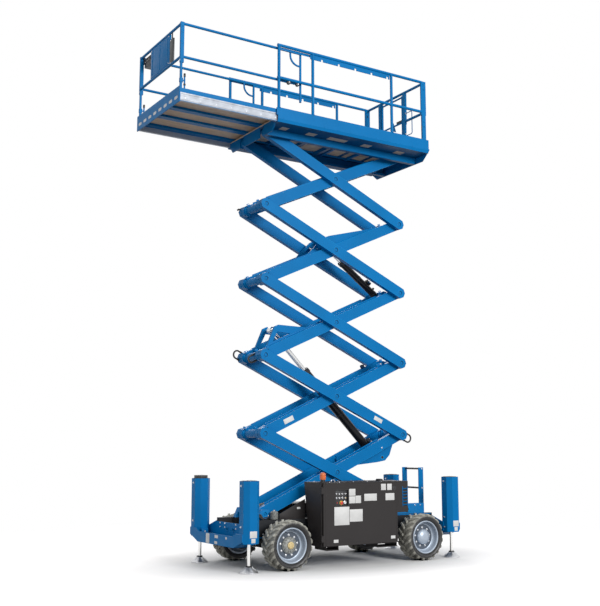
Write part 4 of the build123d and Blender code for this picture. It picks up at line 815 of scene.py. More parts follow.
def chassis_trim():
    """Hoses, fittings and fasteners between the rails, at both axles and at the arms' feet."""
    trim = Piece("chassis_fittings", "chassis")
    for _ in trim.both():
        # pin plates of the front lugs, in the lighter copy of the blue paint as painted highlight
        ring(trim, HIGHLIGHT, (FRONT_PIN.x, 0, FRONT_PIN.z), Y, 0.342, 0.347, 0.0282, 0.043)
        trim.bolt((FRONT_PIN.x - 0.052, 0.344, FRONT_PIN.z - 0.03), Y, 0.01)
        # rail flanges and their bolts
        trim.box(PAINT, (-1.6, RAIL_FACE - 0.0005, 0.404), (1.59, RAIL_FACE + 0.0035, 0.418), 0.001)
        trim.box(PAINT, (-1.6, RAIL_FACE - 0.0005, 0.622), (-0.85, RAIL_FACE + 0.0035, 0.636), 0.001)
        for x in (-1.34, -1.26, -1.03, -0.95, 0.95, 1.03, 1.26, 1.34):
            trim.bolt((x, RAIL_FACE, 0.452), Y, 0.012)
        for x in (1.46, 1.54, -1.46, -1.54):
            trim.bolt((x, RAIL_FACE, 0.545), Y, 0.011)
        # tray hangers
        for x in (-0.51, 0.47):
            for z in (0.46, 0.57):
                trim.bolt((x + 0.055, 0.475, z), X, 0.012)
        trim.box(LABEL, (0.7, RAIL_FACE - 0.0005, 0.52), (0.76, RAIL_FACE + 0.0015, 0.56), 0.0004)
    # valve housing beside the arms: dark side panel with a blank label
    panel = [(0.665, 0.405, 0.637), (1.085, 0.405, 0.637), (1.085, 0.405, 0.712), (0.665, 0.405, 0.905)]
    trim.prism(BLACK, panel, (0, 0.019, 0), 0.004)
    trim.box(LABEL, (0.745, 0.4235, 0.772), (0.8, 0.425, 0.8), 0.0003)
    # ribbed silver filter
    stations = [(0.012, 0.0)]
    for n in range(8):
        z = 0.006 + 0.012 * n
        stations += [(0.053, z), (0.057, z + 0.002), (0.057, z + 0.007), (0.053, z + 0.009)]
    stations += [(0.044, 0.112), (0.03, 0.116), (0.002, 0.117)]
    trim.turned(HUB, (1.15, 0.392, 0.638), Z, stations, 36)
    trim.rod(ZINC, (1.15, 0.392, 0.753), (1.15, 0.392, 0.77), 0.018, 6, 0.002)
    trim.done()

    hoses = Piece("chassis_hoses", "chassis")
    # bundle clipped along the left rail
    for n in range(5):
        y, z = 0.3 + 0.0165 * (n % 3), 0.652 + 0.016 * (n // 3)
        over = (1.3 - 0.02 * n, y + 0.03, z - 0.005)
        path = [(1.4, y, z + 0.03), over, (1.02, y + 0.005, z), (0.7, y - 0.03, z + 0.03)]
        hoses.line(RUBBER, rounded(path, 0.06), 0.0085)
    # drops to the front axle
    for n in range(3):
        y = 0.36 + 0.02 * n
        over = (1.355, 0.37 + 0.02 * n, 0.72 - 0.03 * n)
        path = [(1.405, y, 0.7), over, (1.29, 0.4, 0.6), (1.24, 0.405 + 0.004 * n, 0.47)]
        hoses.line(RUBBER, rounded(path, 0.05), 0.0095)
    for x in (1.18, 0.95, 0.75):
        hoses.box(PLASTIC, (x - 0.012, 0.285, 0.64), (x + 0.012, 0.365, 0.692), 0.004)
    for _ in hoses.both():
        for n in range(2):
            y = 0.2 + 0.022 * n
            path = [(-1.3, y, 0.562), (-0.6, y, 0.572), (0.5, y, 0.572), (1.1, y, 0.562)]
            hoses.line(RUBBER, rounded(path, 0.1), 0.0085)
        for x in (-1.3, 1.09):
            hoses.box(ZINC, (x - 0.02, 0.185, 0.552), (x + 0.02, 0.24, 0.582), 0.004)
    hoses.done()


def axle_trim(x, name):
    """Cast ribs, cover bolts and brake lines of one axle."""
    away, z = (1 if x > 0 else -1), AXLE_Z
    trim = Piece(f"axle_casting_{name}", "chassis")
    middle = [
        (0.058, -0.15), (0.088, -0.118), (0.0935, -0.105), (0.0935, 0.105), (0.088, 0.118), (0.058, 0.15),
    ]
    trim.turned(AXLE, (x, 0, z), Y, middle, 40)
    ring(trim, AXLE, (x, 0, z), (away, 0, 0), 0.06, 0.106, 0.03, 0.084, 0.006, 36)
    cover = [(0.074, 0.0), (0.07, 0.012), (0.045, 0.022), (0.012, 0.025)]
    trim.turned(AXLE, (x + away * 0.104, 0, z), (away, 0, 0), cover, 36)
    for n in range(10):
        turn = math.tau * n / 10
        trim.bolt((x + away * 0.106, 0.078 * math.cos(turn), z + 0.078 * math.sin(turn)), (away, 0, 0), 0.008)
    for _ in trim.both():
        for reach in (0.2, 0.36):
            ring(trim, AXLE, (x, 0, z), Y, reach, reach + 0.014, 0.05, 0.066, 0.003, 28)
        for y in (0.262, 0.338):
            for dx in (-0.052, 0.052):
                trim.bolt((x + dx, y, 0.442), Z, 0.01)
        bends = ((0.063, 0.05, 0.045), (0.066, 0.25, 0.05), (0.06, 0.44, 0.03))
        brake = [(x - away * behind, out, z + up) for behind, out, up in bends]
        trim.line(ZINC, rounded(brake, 0.05), 0.0042, 8)
        trim.box(ZINC, (x - 0.078, 0.04, z + 0.035), (x - 0.052, 0.062, z + 0.06), 0.003)
    trim.done()


def steer_trim(name, side):
    """Kingpin caps and hub bolts of one knuckle."""
    x, y = AXLE_X, side * KINGPIN_Y
    trim = Piece(f"knuckle_trim_{name}", f"steer_{name}")
    cap = [(0.01, 0.0), (0.034, 0.0), (0.036, 0.004), (0.034, 0.012), (0.026, 0.016), (0.01, 0.017)]
    for z, way in ((0.474, 1), (0.186, -1)):
        trim.turned(AXLE, (x, y, z), Z * way, cap, 28)
        for n in range(4):
            turn = math.tau * (n + 0.5) / 4
            place = (x + 0.024 * math.cos(turn), y + 0.024 * math.sin(turn), z + way * 0.014)
            trim.bolt(place, Z * way, 0.006)
    for n in range(8):
        turn = math.tau * n / 8
        trim.bolt((x + 0.03 * math.cos(turn), side * 0.618, AXLE_Z + 0.07 * math.sin(turn)), Y * side, 0.007)
    trim.done()


chassis_trim()
axle_trim(AXLE_X, "front")
axle_trim(-AXLE_X, "rear")
steer_trim("left", 1)
steer_trim("right", -1)


def ladder_trim():
    """Black sleeves and bolts of the ladder's rungs, and the rings over the rear rollers in the lighter copy
    of the blue paint, as painted highlight.
    """
    trim = Piece("ladder_trim", "chassis")
    rung_x = -1.688
    for z in (0.706, 0.996, 1.29):
        trim.rod(PLASTIC, (rung_x, -0.275, z), (rung_x, 0.115, z), 0.0145, 20)
        for y, way in ((-0.284, -1), (0.124, 1)):
            trim.bolt((rung_x, y, z), (0, way, 0), 0.011)
    for y in (-0.28, 0.12):
        for z in (0.64, 0.672):
            trim.bolt((-1.64, y + 0.004, z), Y, 0.01)
    for _ in trim.both():
        ring(trim, HIGHLIGHT, (-1.152, 0, 0.705), Y, 0.424, 0.436, 0.018, 0.046, 0.004)
        trim.rod(AXLE, (-1.152, 0.424, 0.705), (-1.152, 0.43, 0.705), 0.0185, 20, 0.002)
        for x in (-1.4, -1.3, -1.0, -0.9):
            trim.bolt((x, RAIL_FACE, 0.76), Y, 0.009)
    trim.done()


ladder_trim()


# ------------------------------------------------------------------ trays and doors
DOOR_FACE = 0.875
TRAY_TOP = {1: 1.14, -1: 0.79}


def hinge_heights(side):
    """The two door hinges' middles."""
    return (0.39, TRAY_TOP[side] - 0.105)


def tray_trim(side, name):
    """Lid, filler, hinge leaves and lifting pocket edges of one tray, and the left one's louvres."""
    trim = Piece(f"tray_trim_{name}", "chassis", hand=side)
    top = TRAY_TOP[side]
    trim.box(BLACK, (-0.63, 0.418, top - 0.0005), (0.66, 0.832, top + 0.0025), 0.001)
    trim.box(BLACK, (-0.3, 0.43, top), (0.3, 0.82, top + 0.006), 0.003)
    for x in (-0.58, -0.36, -0.12, 0.12, 0.36, 0.52):
        for y in (0.432, 0.822):
            trim.bolt((x, y, top + 0.002), Z, 0.0085)
    # filler with a ribbed cap
    cap = [(0.01, 0.0), (0.046, 0.0), (0.048, 0.004), (0.048, 0.022), (0.042, 0.03), (0.01, 0.032)]
    trim.turned(PLASTIC, (-0.47, 0.64, top), Z, cap, 32)
    for n in range(10):
        turn = math.tau * n / 10
        x, y = -0.47 + 0.048 * math.cos(turn), 0.64 + 0.048 * math.sin(turn)
        trim.rod(PLASTIC, (x, y, top + 0.004), (x, y, top + 0.021), 0.004, 8)
    # slanting blades of the louvres, and their frame
    for n in range(6 if side > 0 else 0):
        z = 0.792 + n * 0.045
        slant = ((0.826, z), (0.842, z + 0.016), (0.842, z + 0.02), (0.826, z + 0.004))
        blade = [(-0.82, y, high) for y, high in slant]
        trim.prism(PAINT, blade, (0.077, 0, 0), 0.0005)
    for x in (-0.826, -0.738) if side > 0 else ():
        trim.box(PAINT, (x - 0.004, 0.8395, 0.78), (x + 0.004, 0.8425, 1.06), 0.001)
    for z in hinge_heights(side):
        trim.box(YELLOW, (0.622, 0.846, z - 0.03), (0.668, 0.8485, z + 0.03), 0.001)
    for x0, x1 in ((-0.618, -0.274), (0.387, 0.597)):
        trim.box(BLACK, (x0 - 0.004, 0.838, 0.229), (x1 + 0.004, 0.8425, 0.234), 0.001)
    trim.done()


# x from, x to, z from, z to
DOOR_LABELS = {
    1: (
        (0.124, 0.23, 0.955, 1.05), (0.124, 0.23, 0.853, 0.948), (0.029, 0.12, 0.853, 0.955),
        (0.229, 0.479, 0.564, 0.81), (0.003, 0.223, 0.604, 0.77), (-0.246, -0.029, 0.879, 0.976),
        (-0.558, -0.401, 0.878, 0.975), (-0.409, -0.324, 1.02, 1.108), (-0.513, -0.432, 1.02, 1.107),
    ),
    -1: ((0.14, 0.34, 0.56, 0.68), (0.38, 0.5, 0.58, 0.68)),
}


def door_trim(side, name):
    """Hinges, latch, bolts and blank labels on one door."""
    trim = Piece(f"door_trim_{name}", f"door_{name}", hand=side)

    def on(x0, x1, z0, z1, finish=LABEL, thick=0.0012, soft=0.0003):
        trim.box(finish, (x0, DOOR_FACE - 0.001, z0), (x1, DOOR_FACE + thick, z1), soft)

    for z in hinge_heights(side):
        trim.rod(YELLOW, (0.68, 0.868, z - 0.0385), (0.68, 0.868, z + 0.0385), 0.0088, 24, 0.001)
        for middle in (z - 0.021, z + 0.021):
            trim.box(YELLOW, (0.634, 0.8705, middle - 0.015), (0.676, 0.8752, middle + 0.015), 0.0012)
            trim.rod(ZINC, (0.65, 0.874, middle), (0.65, 0.8768, middle), 0.008, 16, 0.001)
    # folded rim round the door
    top = TRAY_TOP[side] - 0.007
    for x0, x1, z0, z1 in (
        (-0.6, 0.655, 0.292, 0.303), (-0.6, 0.655, top - 0.011, top),
        (-0.6, -0.589, 0.292, top), (0.612, 0.622, 0.292, top),
    ):
        on(x0, x1, z0, z1, BLACK, 0.0016, 0.0008)
    # latch in its cup
    latch = top - 0.088
    proud = DOOR_FACE + 0.0016
    ring(trim, PLASTIC, (-0.56, 0, latch), Y, DOOR_FACE - 0.001, proud, 0.02, 0.032, 0.001, 28)
    trim.box(PLASTIC, (-0.582, DOOR_FACE - 0.002, latch - 0.009), (-0.538, proud, latch + 0.009), 0.002)
    for x, low in ((0.089, 0.061), (-0.005, 0.063), (-0.131, 0.065), (0.079, 0.127), (-0.004, 0.129)):
        trim.bolt((x, DOOR_FACE - 0.0085, top - low), Y, 0.0085)
    on(0.415, 0.491, 0.333, 0.374)
    on(-0.566, -0.489, 0.343, 0.384)
    for label in DOOR_LABELS[side]:
        on(*label)
    if side > 0:
        controls(trim)
    else:
        for n in range(7):
            z = 0.42 + 0.028 * n
            trim.box(PLASTIC, (-0.48, DOOR_FACE + 0.0015, z), (-0.16, DOOR_FACE - 0.001, z + 0.016), 0.001)
    trim.done()


def controls(trim):
    """Ground controls in the door's recess: switches, gauge, keyed switch and red stop button."""
    back = DOOR_FACE - 0.0225
    trim.box(PLASTIC, (0.242, back - 0.001, 0.822), (0.455, back + 0.003, 1.038), 0.001)
    # frame of the recess
    x0, x1, z0, z1, bar = 0.2395, 0.4575, 0.8195, 1.0405, 0.0065
    bars = ((x0, x0 + bar, z0, z1), (x1 - bar, x1, z0, z1), (x0, x1, z0, z0 + bar), (x0, x1, z1 - bar, z1))
    for a, b, c, d in bars:
        trim.box(PLASTIC, (a, back, c), (b, DOOR_FACE + 0.0014, d), 0.001)
    ring(trim, SAFETY, (0.35, 0, 0.862), Y, back, back + 0.006, 0.01, 0.03, 0.002, 28)
    button = [(0.011, 0.0), (0.011, 0.01), (0.021, 0.012), (0.022, 0.017), (0.014, 0.021), (0.004, 0.0215)]
    trim.turned(STOP, (0.35, back, 0.862), Y, button, 28)
    switch_x = [0.43 - 0.05 * n for n in range(4)]
    for x, finish in zip(switch_x, (ZINC, LABEL, ZINC, SAFETY)):
        ring(trim, ZINC, (x, 0, 0.93), Y, back + 0.001, back + 0.006, 0.005, 0.013, 0.001, 20)
        trim.rod(finish, (x, back, 0.93), (x, back + 0.012, 0.93), 0.0062, 16, 0.001)
    for x in switch_x:
        trim.bolt((x, back + 0.002, 0.985), Y, 0.01)
        trim.rod(CHROME, (x, back + 0.008, 0.985), (x, back + 0.019, 0.993), 0.003, 10)
    ring(trim, CHROME, (0.29, 0, 0.87), Y, back, back + 0.009, 0.019, 0.024, 0.002, 32)
    trim.rod(LABEL, (0.29, back, 0.87), (0.29, back + 0.005, 0.87), 0.0195, 28)
    trim.rod(STOP, (0.42, back, 0.865), (0.42, back + 0.008, 0.865), 0.008, 16, 0.001)


for hand, hand_name in ((1, "left"), (-1, "right")):
    tray_trim(hand, hand_name)
    door_trim(hand, hand_name)


def lamp_trim():
    """Beacon: black foot and ribbed amber lens; hook, block and wire beside it on the tray."""
    top = TRAY_TOP[1]
    at = Vector((0.583, 0.75, top))
    lamp = Piece("beacon_lamp", "chassis")
    foot = [
        (0.01, 0.0), (0.044, 0.0), (0.045, 0.003), (0.044, 0.01), (0.03, 0.016), (0.029, 0.034),
        (0.036, 0.038), (0.036, 0.041), (0.01, 0.041),
    ]
    lamp.turned(PLASTIC, at, Z, foot, 36)
    lens = [(0.01, 0.04), (0.0415, 0.04)]
    for n in range(6):
        z, r = 0.042 + n * 0.0115, 0.042 - 0.0002 * n
        lens += [(r, z + 0.001), (r, z + 0.008), (r - 0.0018, z + 0.0098)]
    lens += [(0.039, 0.113), (0.036, 0.124), (0.029, 0.131), (0.017, 0.135), (0.004, 0.136)]
    lamp.turned("amber_lens", at, Z, lens, 40)
    lamp.done("beacon")
    trim = Piece("tray_top_fittings", "chassis")
    hook = [(0.48, 0.8, top), (0.48, 0.8, top + 0.032), (0.42, 0.8, top + 0.032), (0.42, 0.8, top)]
    trim.line(ZINC, rounded(hook, 0.012), 0.005)
    trim.box(PLASTIC, (0.5, 0.64, top - 0.001), (0.56, 0.69, top + 0.02), 0.004)
    wire = [(0.583, 0.712, top + 0.006), (0.583, 0.7, top + 0.007), (0.545, 0.68, top + 0.008)]
    trim.line(RUBBER, rounded(wire, 0.02), 0.004)
    trim.done()


lamp_trim()


def engine():
    """Sump, block, head, air cleaner, cooler, pulleys, filter and pipes, from the foot of the outer side."""
    unit = Piece("engine_unit", "chassis", Matrix.Translation((0, -0.798, 0.298)))
    wide = 0.232
    unit.box(AXLE, (-0.18, 0.02, 0.072), (0.2, wide, 0.282), 0.012)
    unit.box(AXLE, (-0.2, 0.01, 0), (0.22, wide, 0.074), 0.014)
    unit.box(ZINC, (-0.16, 0.03, 0.282), (0.18, wide - 0.01, 0.347), 0.008)
    unit.box(BLACK, (-0.15, 0.04, 0.347), (0.17, wide - 0.02, 0.382), 0.014)
    for n in range(9):
        unit.box(AXLE, (-0.17 + 0.042 * n, 0, 0.088), (-0.162 + 0.042 * n, 0.024, 0.274), 0.002)
    for x in (-0.13, -0.04, 0.05, 0.14):
        unit.bolt((x, 0.178, 0.381), Z, 0.01)
        unit.line(ZINC, rounded([(x, 0.032, 0.315), (x, 0.008, 0.315), (x, 0.008, 0.242)], 0.02), 0.008)
    cleaner = [(0.012, 0.0), (0.05, 0.0), (0.052, 0.006), (0.052, 0.25), (0.05, 0.256), (0.012, 0.256)]
    unit.turned(BLACK, (-0.13, 0.108, 0.409), X, cleaner, 36)
    unit.box(BLACK, (0.24, 0, 0), (0.3, wide, 0.454), 0.006)
    for n in range(17):
        z = 0.024 + 0.025 * n
        unit.box(ZINC, (0.238, 0.012, z), (0.302, wide - 0.012, z + 0.004), 0.0005)
    for z, r in ((0.102, 0.055), (0.222, 0.042), (0.324, 0.035)):
        pulley = [(0.01, 0.0), (r, 0.0), (r - 0.006, 0.01), (r - 0.006, 0.02), (r, 0.03), (0.01, 0.03)]
        unit.turned(AXLE, (-0.241, 0.098, z), X, pulley, 32)
    oil_filter = [(0.012, 0.0), (0.04, 0.0), (0.042, 0.01), (0.042, 0.24), (0.034, 0.258), (0.012, 0.262)]
    unit.turned("cylinder_black", (-0.287, 0.108, 0.032), Z, oil_filter, 32)
    coolant = [(0.236, 0.148, 0.402), (0.2, 0.178, 0.437), (0.12, 0.188, 0.37)]
    unit.line(RUBBER, rounded(coolant, 0.04), 0.015, 14)
    unit.done("engine_block")


engine()


# ------------------------------------------------------------------ platform
TOP = PIN["platform_pin"].z
TOE = TOP + 0.21
RAIL_TOP, RAIL_MID, RAIL_Y = TOP + 1.155, TOP + 0.665, 0.743
POST_X = (1.308, 0.73, -0.72)


def deck_trim():
    """Post sockets, collars, toe board lip, fold pins, joists, pipes and floor fittings of the main deck."""
    trim = Piece("deck_trim", "platform")
    for _ in trim.both():
        y = RAIL_Y
        for x in POST_X:
            ring(trim, PAINT, (x, y, TOE), Z, -0.002, 0.012, 0.0215, 0.03, 0.006, 28)
            trim.box(PAINT, (x - 0.04, y - 0.004, TOE - 0.11), (x + 0.04, 0.7635, TOE - 0.002), 0.003)
            for z in (RAIL_TOP, RAIL_MID):
                ring(trim, PAINT, (x, y, z), Z, -0.0245, -0.0215, 0.0215, 0.0255, 0.002, 24)
        # lip on the toe board, and a lighter strip under the channel as painted highlight
        trim.rod(PAINT, (-1.415, 0.757, TOE - 0.001), (1.318, 0.757, TOE - 0.001), 0.0065, 10)
        trim.box(HIGHLIGHT, (-1.34, 0.4195, TOP - 0.0945), (1.318, 0.4265, TOP - 0.0895), 0.001)
        for n in range(12):
            x = -1.34 + 0.235 * n
            trim.bolt((x, 0.7645, TOE - 0.15), Y, 0.005, PAINT)
        # rear post: fold pins and bolts
        for z, r, half in (
            (RAIL_TOP - 0.115, 0.011, 0.011), (RAIL_TOP - 0.035, 0.009, 0.011),
            (TOE + 0.215, 0.011, 0.016), (TOE + 0.29, 0.009, 0.016),
        ):
            trim.bolt((-1.352, RAIL_Y + half, z), Y, r, PAINT)
            trim.bolt((-1.352, RAIL_Y - half, z), -Y, r, AXLE)
        trim.rod(PLASTIC, (-1.318, y, TOE + 0.16), (-1.318, y, TOE + 0.225), 0.01, 14, 0.002)
        # guide plate between the fixed and the sliding top rails
        trim.box(PAINT, (0.735, 0.7225, TOP + 1.098), (1.3, 0.7262, TOP + 1.136), 0.001)
        # floor seen through the outboard openings
        for x0, x1 in ((-1.108, -0.935), (-0.475, -0.302), (-0.023, 0.318), (0.53, 0.699), (1.02, 1.153)):
            trim.box("deck_plywood", (x0 - 0.02, 0.446, TOP + 0.0085), (x1 + 0.02, 0.596, TOP + 0.012))
        # pads that carry the sliding rails
        for x in (1.129, 0.981):
            z = RAIL_MID - 0.032
            trim.rod(PLASTIC, (x, y - 0.006, z), (x, y - 0.044, z), 0.029, 24, 0.004)
            trim.bolt((x, y - 0.004, RAIL_MID - 0.03), Y, 0.009)
    trim.done()

    under = Piece("deck_joists", "platform")
    for x in (-1.15, -0.6, -0.12, 0.42, 0.86, 1.24):
        under.box(PAINT, (x - 0.022, -0.35, TOP + 0.028), (x + 0.022, 0.35, TOP + 0.0655), 0.003)
    for _ in under.both():
        # lighter flange strip along each side, a painted highlight
        under.box(HIGHLIGHT, (-1.3, 0.3, TOP + 0.044), (1.3, 0.34, TOP + 0.0655), 0.002)
        for x in (-1.02, -0.39, 0.15, 0.61, 1.09):
            under.bolt((x, 0.52, TOP + 0.064), -Z, 0.01)
    under.rod(RUBBER, (-1.2, 0.12, TOP + 0.05), (1.2, 0.12, TOP + 0.05), 0.01, 12)
    under.rod(RUBBER, (-1.2, 0.145, TOP + 0.05), (1.2, 0.145, TOP + 0.05), 0.008, 12)
    under.done()

    floor = Piece("deck_floor_screws", "platform")
    z = TOP + 0.084
    for x in (-1.25, -0.95, -0.62):
        for y in (-0.62, -0.21, 0.21, 0.62):
            floor.rod(ZINC, (x, y, z - 0.001), (x, y, z + 0.0012), 0.009, 14)
    # lanyard eyes
    x = -0.9
    for y in (-0.63, 0.63):
        floor.box(ZINC, (x - 0.03, y - 0.02, z - 0.001), (x + 0.03, y + 0.02, z + 0.003), 0.001)
        loop_ends = ((-0.015, 0), (-0.015, 0.035), (0.015, 0.035), (0.015, 0))
        eye = [(x + reach, y, z + rise) for reach, rise in loop_ends]
        floor.line(ZINC, rounded(eye, 0.012), 0.005)
    floor.done()


def gate_trim():
    """Latch, gusset, hinge caps and collars of the entry gate, and its posts' fittings, from its pin."""
    at = Matrix.Translation(PIN["gate_hinge"])
    trim = Piece("gate_trim", "gate", at)
    trim.box(PLASTIC, (-0.019, 0.392, -0.038), (0.019, 0.525, -0.002), 0.006)
    trim.rod(ZINC, (0, 0.492, -0.02), (0, 0.552, -0.02), 0.0075, 14, 0.001)
    trim.rod(PLASTIC, (-0.018, 0.427, -0.02), (-0.04, 0.427, -0.02), 0.011, 16, 0.003)
    gusset = [(-0.003, 0.292, 0.017), (-0.003, 0.202, -0.087), (-0.003, 0.36, -0.161)]
    trim.prism(PAINT, gusset, (0.006, 0, 0), 0.0008)
    for z in (0.368, -0.558):
        trim.rod(PAINT, (0, 0, z - 0.02), (0, 0, z - 0.002), 0.0185, 20, 0.002)
    for y in (0, 0.531):
        for z in (-0.487, -0.046, 0.384):
            ring(trim, PAINT, (0, y, z), Z, 0.012, 0.016, 0.0155, 0.019, 0.002, 20)
    trim.done()
    post = Piece("gate_post_trim", "platform", at)
    for y in (-0.058, 0.587):
        for z in (-0.6, -0.57):
            post.bolt((-0.016, y, z), -X, 0.008)
    for z in (-0.26, 0.085):
        ring(post, ZINC, (0, 0.342, z), Y, 0.27, 0.278, 0.0068, 0.013, 0.002, 18)
    post.box(PLASTIC, (-0.012, 0.538, -0.034), (0.012, 0.562, -0.006), 0.003)
    post.done()


def stadium(x, y, z, wide, tall):
    """Long round-ended outline on a plane of constant x."""
    r, reach = tall / 2, (wide - tall) / 2
    turns = [math.pi * (n / 10 - 0.5) for n in range(11)]
    points = [(half * (reach + r * math.cos(a)), half * r * math.sin(a)) for half in (1, -1) for a in turns]
    return [(x, y + across, z + up) for across, up in points]


def extension_trim():
    """Panel plugs, post pins, caps and painted highlight lines along the beam edges of the sliding deck."""
    front = PANEL_X
    trim = Piece("extension_trim", "extension")
    for n in range(8):
        y = SLOT_PITCH * (n + 0.5) - SLOT_START
        trim.prism(LABEL, stadium(front - 0.0105, y, SLOT_Z, 0.08, 0.0365), (0.0095, 0, 0), 0.001)
    for _ in trim.both():
        y = 0.694
        for z in (RAIL_MID - 0.05, TOP + 0.3667, TOP + 1.0807):
            trim.bolt((front - 0.036, 0.7115, z), Y, 0.008, PAINT)
        trim.bolt((front - 0.01, 0.697, TOP + 0.5997), X, 0.01)
        for low, high, r in ((TOP + 0.3707, TOP + 0.4182, 0.015), (TOP + 0.2507, TOP + 0.2727, 0.0165)):
            trim.rod(PLASTIC, (front - 0.086, y, low), (front - 0.086, y, high), r, 18, 0.003)
        # thin lighter rods along the beam's edges, painted highlights
        for out, z, r in ((0.7285, TOP + 0.1385, 0.0025), (0.728, TOP + 0.0185, 0.003)):
            trim.rod(HIGHLIGHT, (1.01, out, z), (front - 0.014, out, z), r, 8)
        for n in range(8):
            trim.bolt((1.12 + 0.235 * n, 0.7285, TOP + 0.062), Y, 0.006)
        for z in (TOP + 0.03, TOP + 0.19):
            trim.bolt((front - 0.0045, 0.7, z), X, 0.0038)
        for z in (TOP + 1.0107, TOP + 0.8507):
            trim.box(PAINT, (front - 0.05, 0.706, z - 0.018), (front - 0.014, 0.7175, z + 0.018), 0.003)
    trim.done()


def document_holder():
    """Flat box on the sliding deck's rail and the bar beside it, from the box's lower rear corner."""
    at = Matrix.Translation((PANEL_X - 0.045, -0.32, TOP + 0.6727))
    thick, wide, high = 0.026, 0.65, 0.432
    holder = Piece("document_holder", "extension", at)
    holder.box(PAINT, (0, 0, 0), (thick, wide, high), 0.004)
    for y in (0.045, 0.3, 0.555):
        holder.box(PAINT, (thick - 0.002, y, 0.03), (thick + 0.003, y + 0.018, high - 0.03), 0.0015)
    for z in (0.02, high - 0.02):
        for y in (0.03, wide - 0.03):
            holder.bolt((thick, y, z), X, 0.008)
            holder.bolt((0, y, z), -X, 0.008)
    holder.box(PLASTIC, (-0.03, 0.1, 0.08), (-0.001, 0.36, 0.3), 0.006)
    holder.done("document_box")
    bar = Piece("document_bar", "extension", at)
    bar.box(PLASTIC, (0.003, 0.658, -0.017), (0.027, 0.766, 0.343), 0.006)
    for z in (0, 0.326):
        bar.box(ZINC, (0, 0.672, z - 0.008), (0.03, 0.692, z + 0.008), 0.002)
    bar.rod(PLASTIC, (0.015, 0.712, 0.338), (0.015, 0.712, 0.438), 0.009, 14)
    bar.done()


def console():
    """Platform controls, from the box's lower rear corner: joystick, stop button, switches, guard hoop."""
    unit = Piece("platform_console", "extension", Matrix.Translation((PANEL_X - 0.193, -0.642, TOP + 0.9567)))
    deep, wide, high = 0.138, 0.216, 0.146
    foot, crest = (0.03, high - 0.016), (deep - 0.02, high)
    section = [(0, 0), (0, high - 0.05), foot, crest, (deep, high - 0.01), (deep, 0)]
    unit.prism(PLASTIC, [(x, 0, z) for x, z in section], (0, wide, 0), 0.005)
    slope = Vector((crest[0] - foot[0], 0, crest[1] - foot[1])).normalized()
    over = Vector((-slope.z, 0, slope.x))

    def on(along, y):
        return Vector((foot[0], y, foot[1])) + slope * along

    plate = [on(0.006, 0.01), on(0.082, 0.01), on(0.082, wide - 0.01), on(0.006, wide - 0.01)]
    unit.prism(AXLE, [p - over * 0.001 for p in plate], over * 0.0025, 0.0008)
    stick, stop = on(0.044, 0.082), on(0.044, 0.167)
    boot = [
        (0.01, 0.0), (0.024, 0.001), (0.022, 0.008), (0.017, 0.012),
        (0.018, 0.016), (0.011, 0.024), (0.004, 0.026),
    ]
    unit.turned(RUBBER, stick, over, boot, 28)
    grip = [(0.007, 0.02), (0.009, 0.043), (0.0125, 0.059), (0.012, 0.074), (0.006, 0.08), (0.002, 0.081)]
    unit.turned(PLASTIC, stick, over, grip, 24)
    ring(unit, SAFETY, stop, over, 0.001, 0.005, 0.009, 0.024, 0.001, 24)
    button = [(0.009, 0.002), (0.009, 0.012), (0.017, 0.014), (0.017, 0.019), (0.01, 0.022), (0.003, 0.0225)]
    unit.turned(STOP, stop, over, button, 24)
    for n in range(4):
        knob = on(0.02 + 0.048 * (n % 2), 0.032 + 0.016 * (n // 2))
        unit.rod(ZINC, knob, knob + over * 0.004, 0.006, 14)
        unit.rod(CHROME, knob + over * 0.003, knob + over * 0.015, 0.0025, 8)
    # bar behind the box, with the hoop that stands up from it
    unit.box(BLACK, (deep - 0.004, -0.028, 0.06), (deep + 0.004, wide + 0.04, 0.106), 0.003)
    for y in (0.042, 0.112, 0.172):
        unit.bolt((deep + 0.003, y, 0.083), X, 0.007)
    ends = ((-0.018, 0.088), (-0.018, 0.2), (wide + 0.032, 0.2), (wide + 0.032, 0.088))
    unit.line(BLACK, rounded([(deep - 0.004, y, z) for y, z in ends], 0.026, 8), 0.01, 16)
    unit.box(LABEL, (-0.001, 0.04, 0.03), (0.001, wide - 0.04, 0.072), 0.0003)
    for y in (0.03, wide - 0.03):
        unit.bolt((0, y, 0.016), -X, 0.006)
    unit.rod(RUBBER, (0.065, 0.107, 0.002), (0.065, 0.107, -0.03), 0.013, 16, 0.002)
    unit.done("control_box")


deck_trim()
gate_trim()
extension_trim()
document_holder()
console()


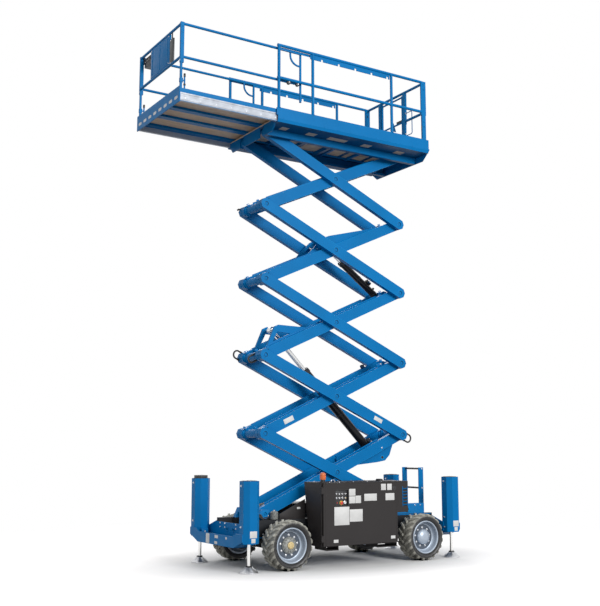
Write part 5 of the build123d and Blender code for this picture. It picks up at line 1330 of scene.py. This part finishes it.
# ------------------------------------------------------------------ light, floor, camera
def studio():
    """Pale floor that fades into a white surround, with a painted shadow: less glow where the machine stands
    over it.
    """
    bpy.ops.mesh.primitive_plane_add(size=120.0)
    floor = bpy.context.object
    floor.name = "floor"
    f = Finish("floor_pale", Roughness=0.9)
    seen = f.surround()
    pale = f.mix(f.ramp(f.noise(0.8), 0.3, 0.7), rgba((0.8, 0.8, 0.8)), rgba((0.83, 0.83, 0.83)))
    f.colour(f.mix(seen, rgba((0.16, 0.16, 0.17)), pale))
    glow = f.node("ShaderNodeEmission", Color=rgba((0.42, 0.405, 0.395)))
    # painted shadow: within an oval round the machine the floor's glow drops to slightly below nothing
    shadow_reach = f.vector("LENGTH", f.node("ShaderNodeMapping", Vector=f.coords, Scale=(0.42, 0.72, 1)).outputs[0])
    f.feed(glow.inputs["Strength"], f.math("MULTIPLY", seen, f.ramp(shadow_reach, 0.75, 1.55, -0.1, 1.0)))
    lit = f.node("ShaderNodeAddShader")
    f.feed(lit.inputs[0], f.shader.outputs[0])
    f.feed(lit.inputs[1], glow.outputs[0])
    blend = f.node("ShaderNodeMixShader")
    f.feed(blend.inputs[0], f.math("MULTIPLY", seen, f.ramp(f.vector("LENGTH", f.coords), 3.2, 7.5)))
    f.feed(blend.inputs[1], lit.outputs[0])
    f.feed(blend.inputs[2], f.node("ShaderNodeBsdfTransparent").outputs[0])
    f.feed(f.tree.nodes["Material Output"].inputs["Surface"], blend.outputs[0])
    floor.data.materials.append(f.material)

    world = bpy.data.worlds.new("studio")
    world.use_nodes = True
    bpy.context.scene.world = world
    sky = Nodes(world.node_tree)
    ground = sky.tree.nodes["Background"].inputs
    ground["Color"].default_value = (1, 1, 1, 1)
    sky.feed(ground["Strength"], sky.ramp(sky.surround(), 0.0, 1.0, 0.62, 1.0))

    aim = Vector((0, 0, 3.5))
    # name, place, side length, watts
    for name, place, side, watts in (
        ("key", (-3.0, 24.0, 11.0), 9.0, 4600),
        ("fill", (16.0, 9.0, 5.0), 8.0, 380),
        ("back", (-8.0, -16.0, 12.0), 9.0, 700),
    ):
        data = bpy.data.lights.new(name, "AREA")
        data.shape, data.size, data.energy = "SQUARE", side, watts
        lamp = bpy.data.objects.new(name, data)
        bpy.context.collection.objects.link(lamp)
        lamp.location = place
        lamp.rotation_euler = (aim - lamp.location).to_track_quat("-Z", "Y").to_euler()


def camera():
    """Eye level, from the front left, looking a little up."""
    heading, tilt = 0.5629, 0.1525
    look = Vector((-math.sin(heading) * math.cos(tilt), -math.cos(heading) * math.cos(tilt), math.sin(tilt)))
    data = bpy.data.cameras.new("camera")
    data.lens, data.sensor_width = 55.87, 36.0
    data.clip_end = 100.0
    eye = bpy.data.objects.new("camera", data)
    bpy.context.collection.objects.link(eye)
    eye.location = (7.892, 11.742, 1.617)
    eye.rotation_euler = look.to_track_quat("-Z", "Y").to_euler()
    bpy.context.scene.camera = eye


studio()
camera()
bpy.context.scene.view_settings.view_transform = "Standard"
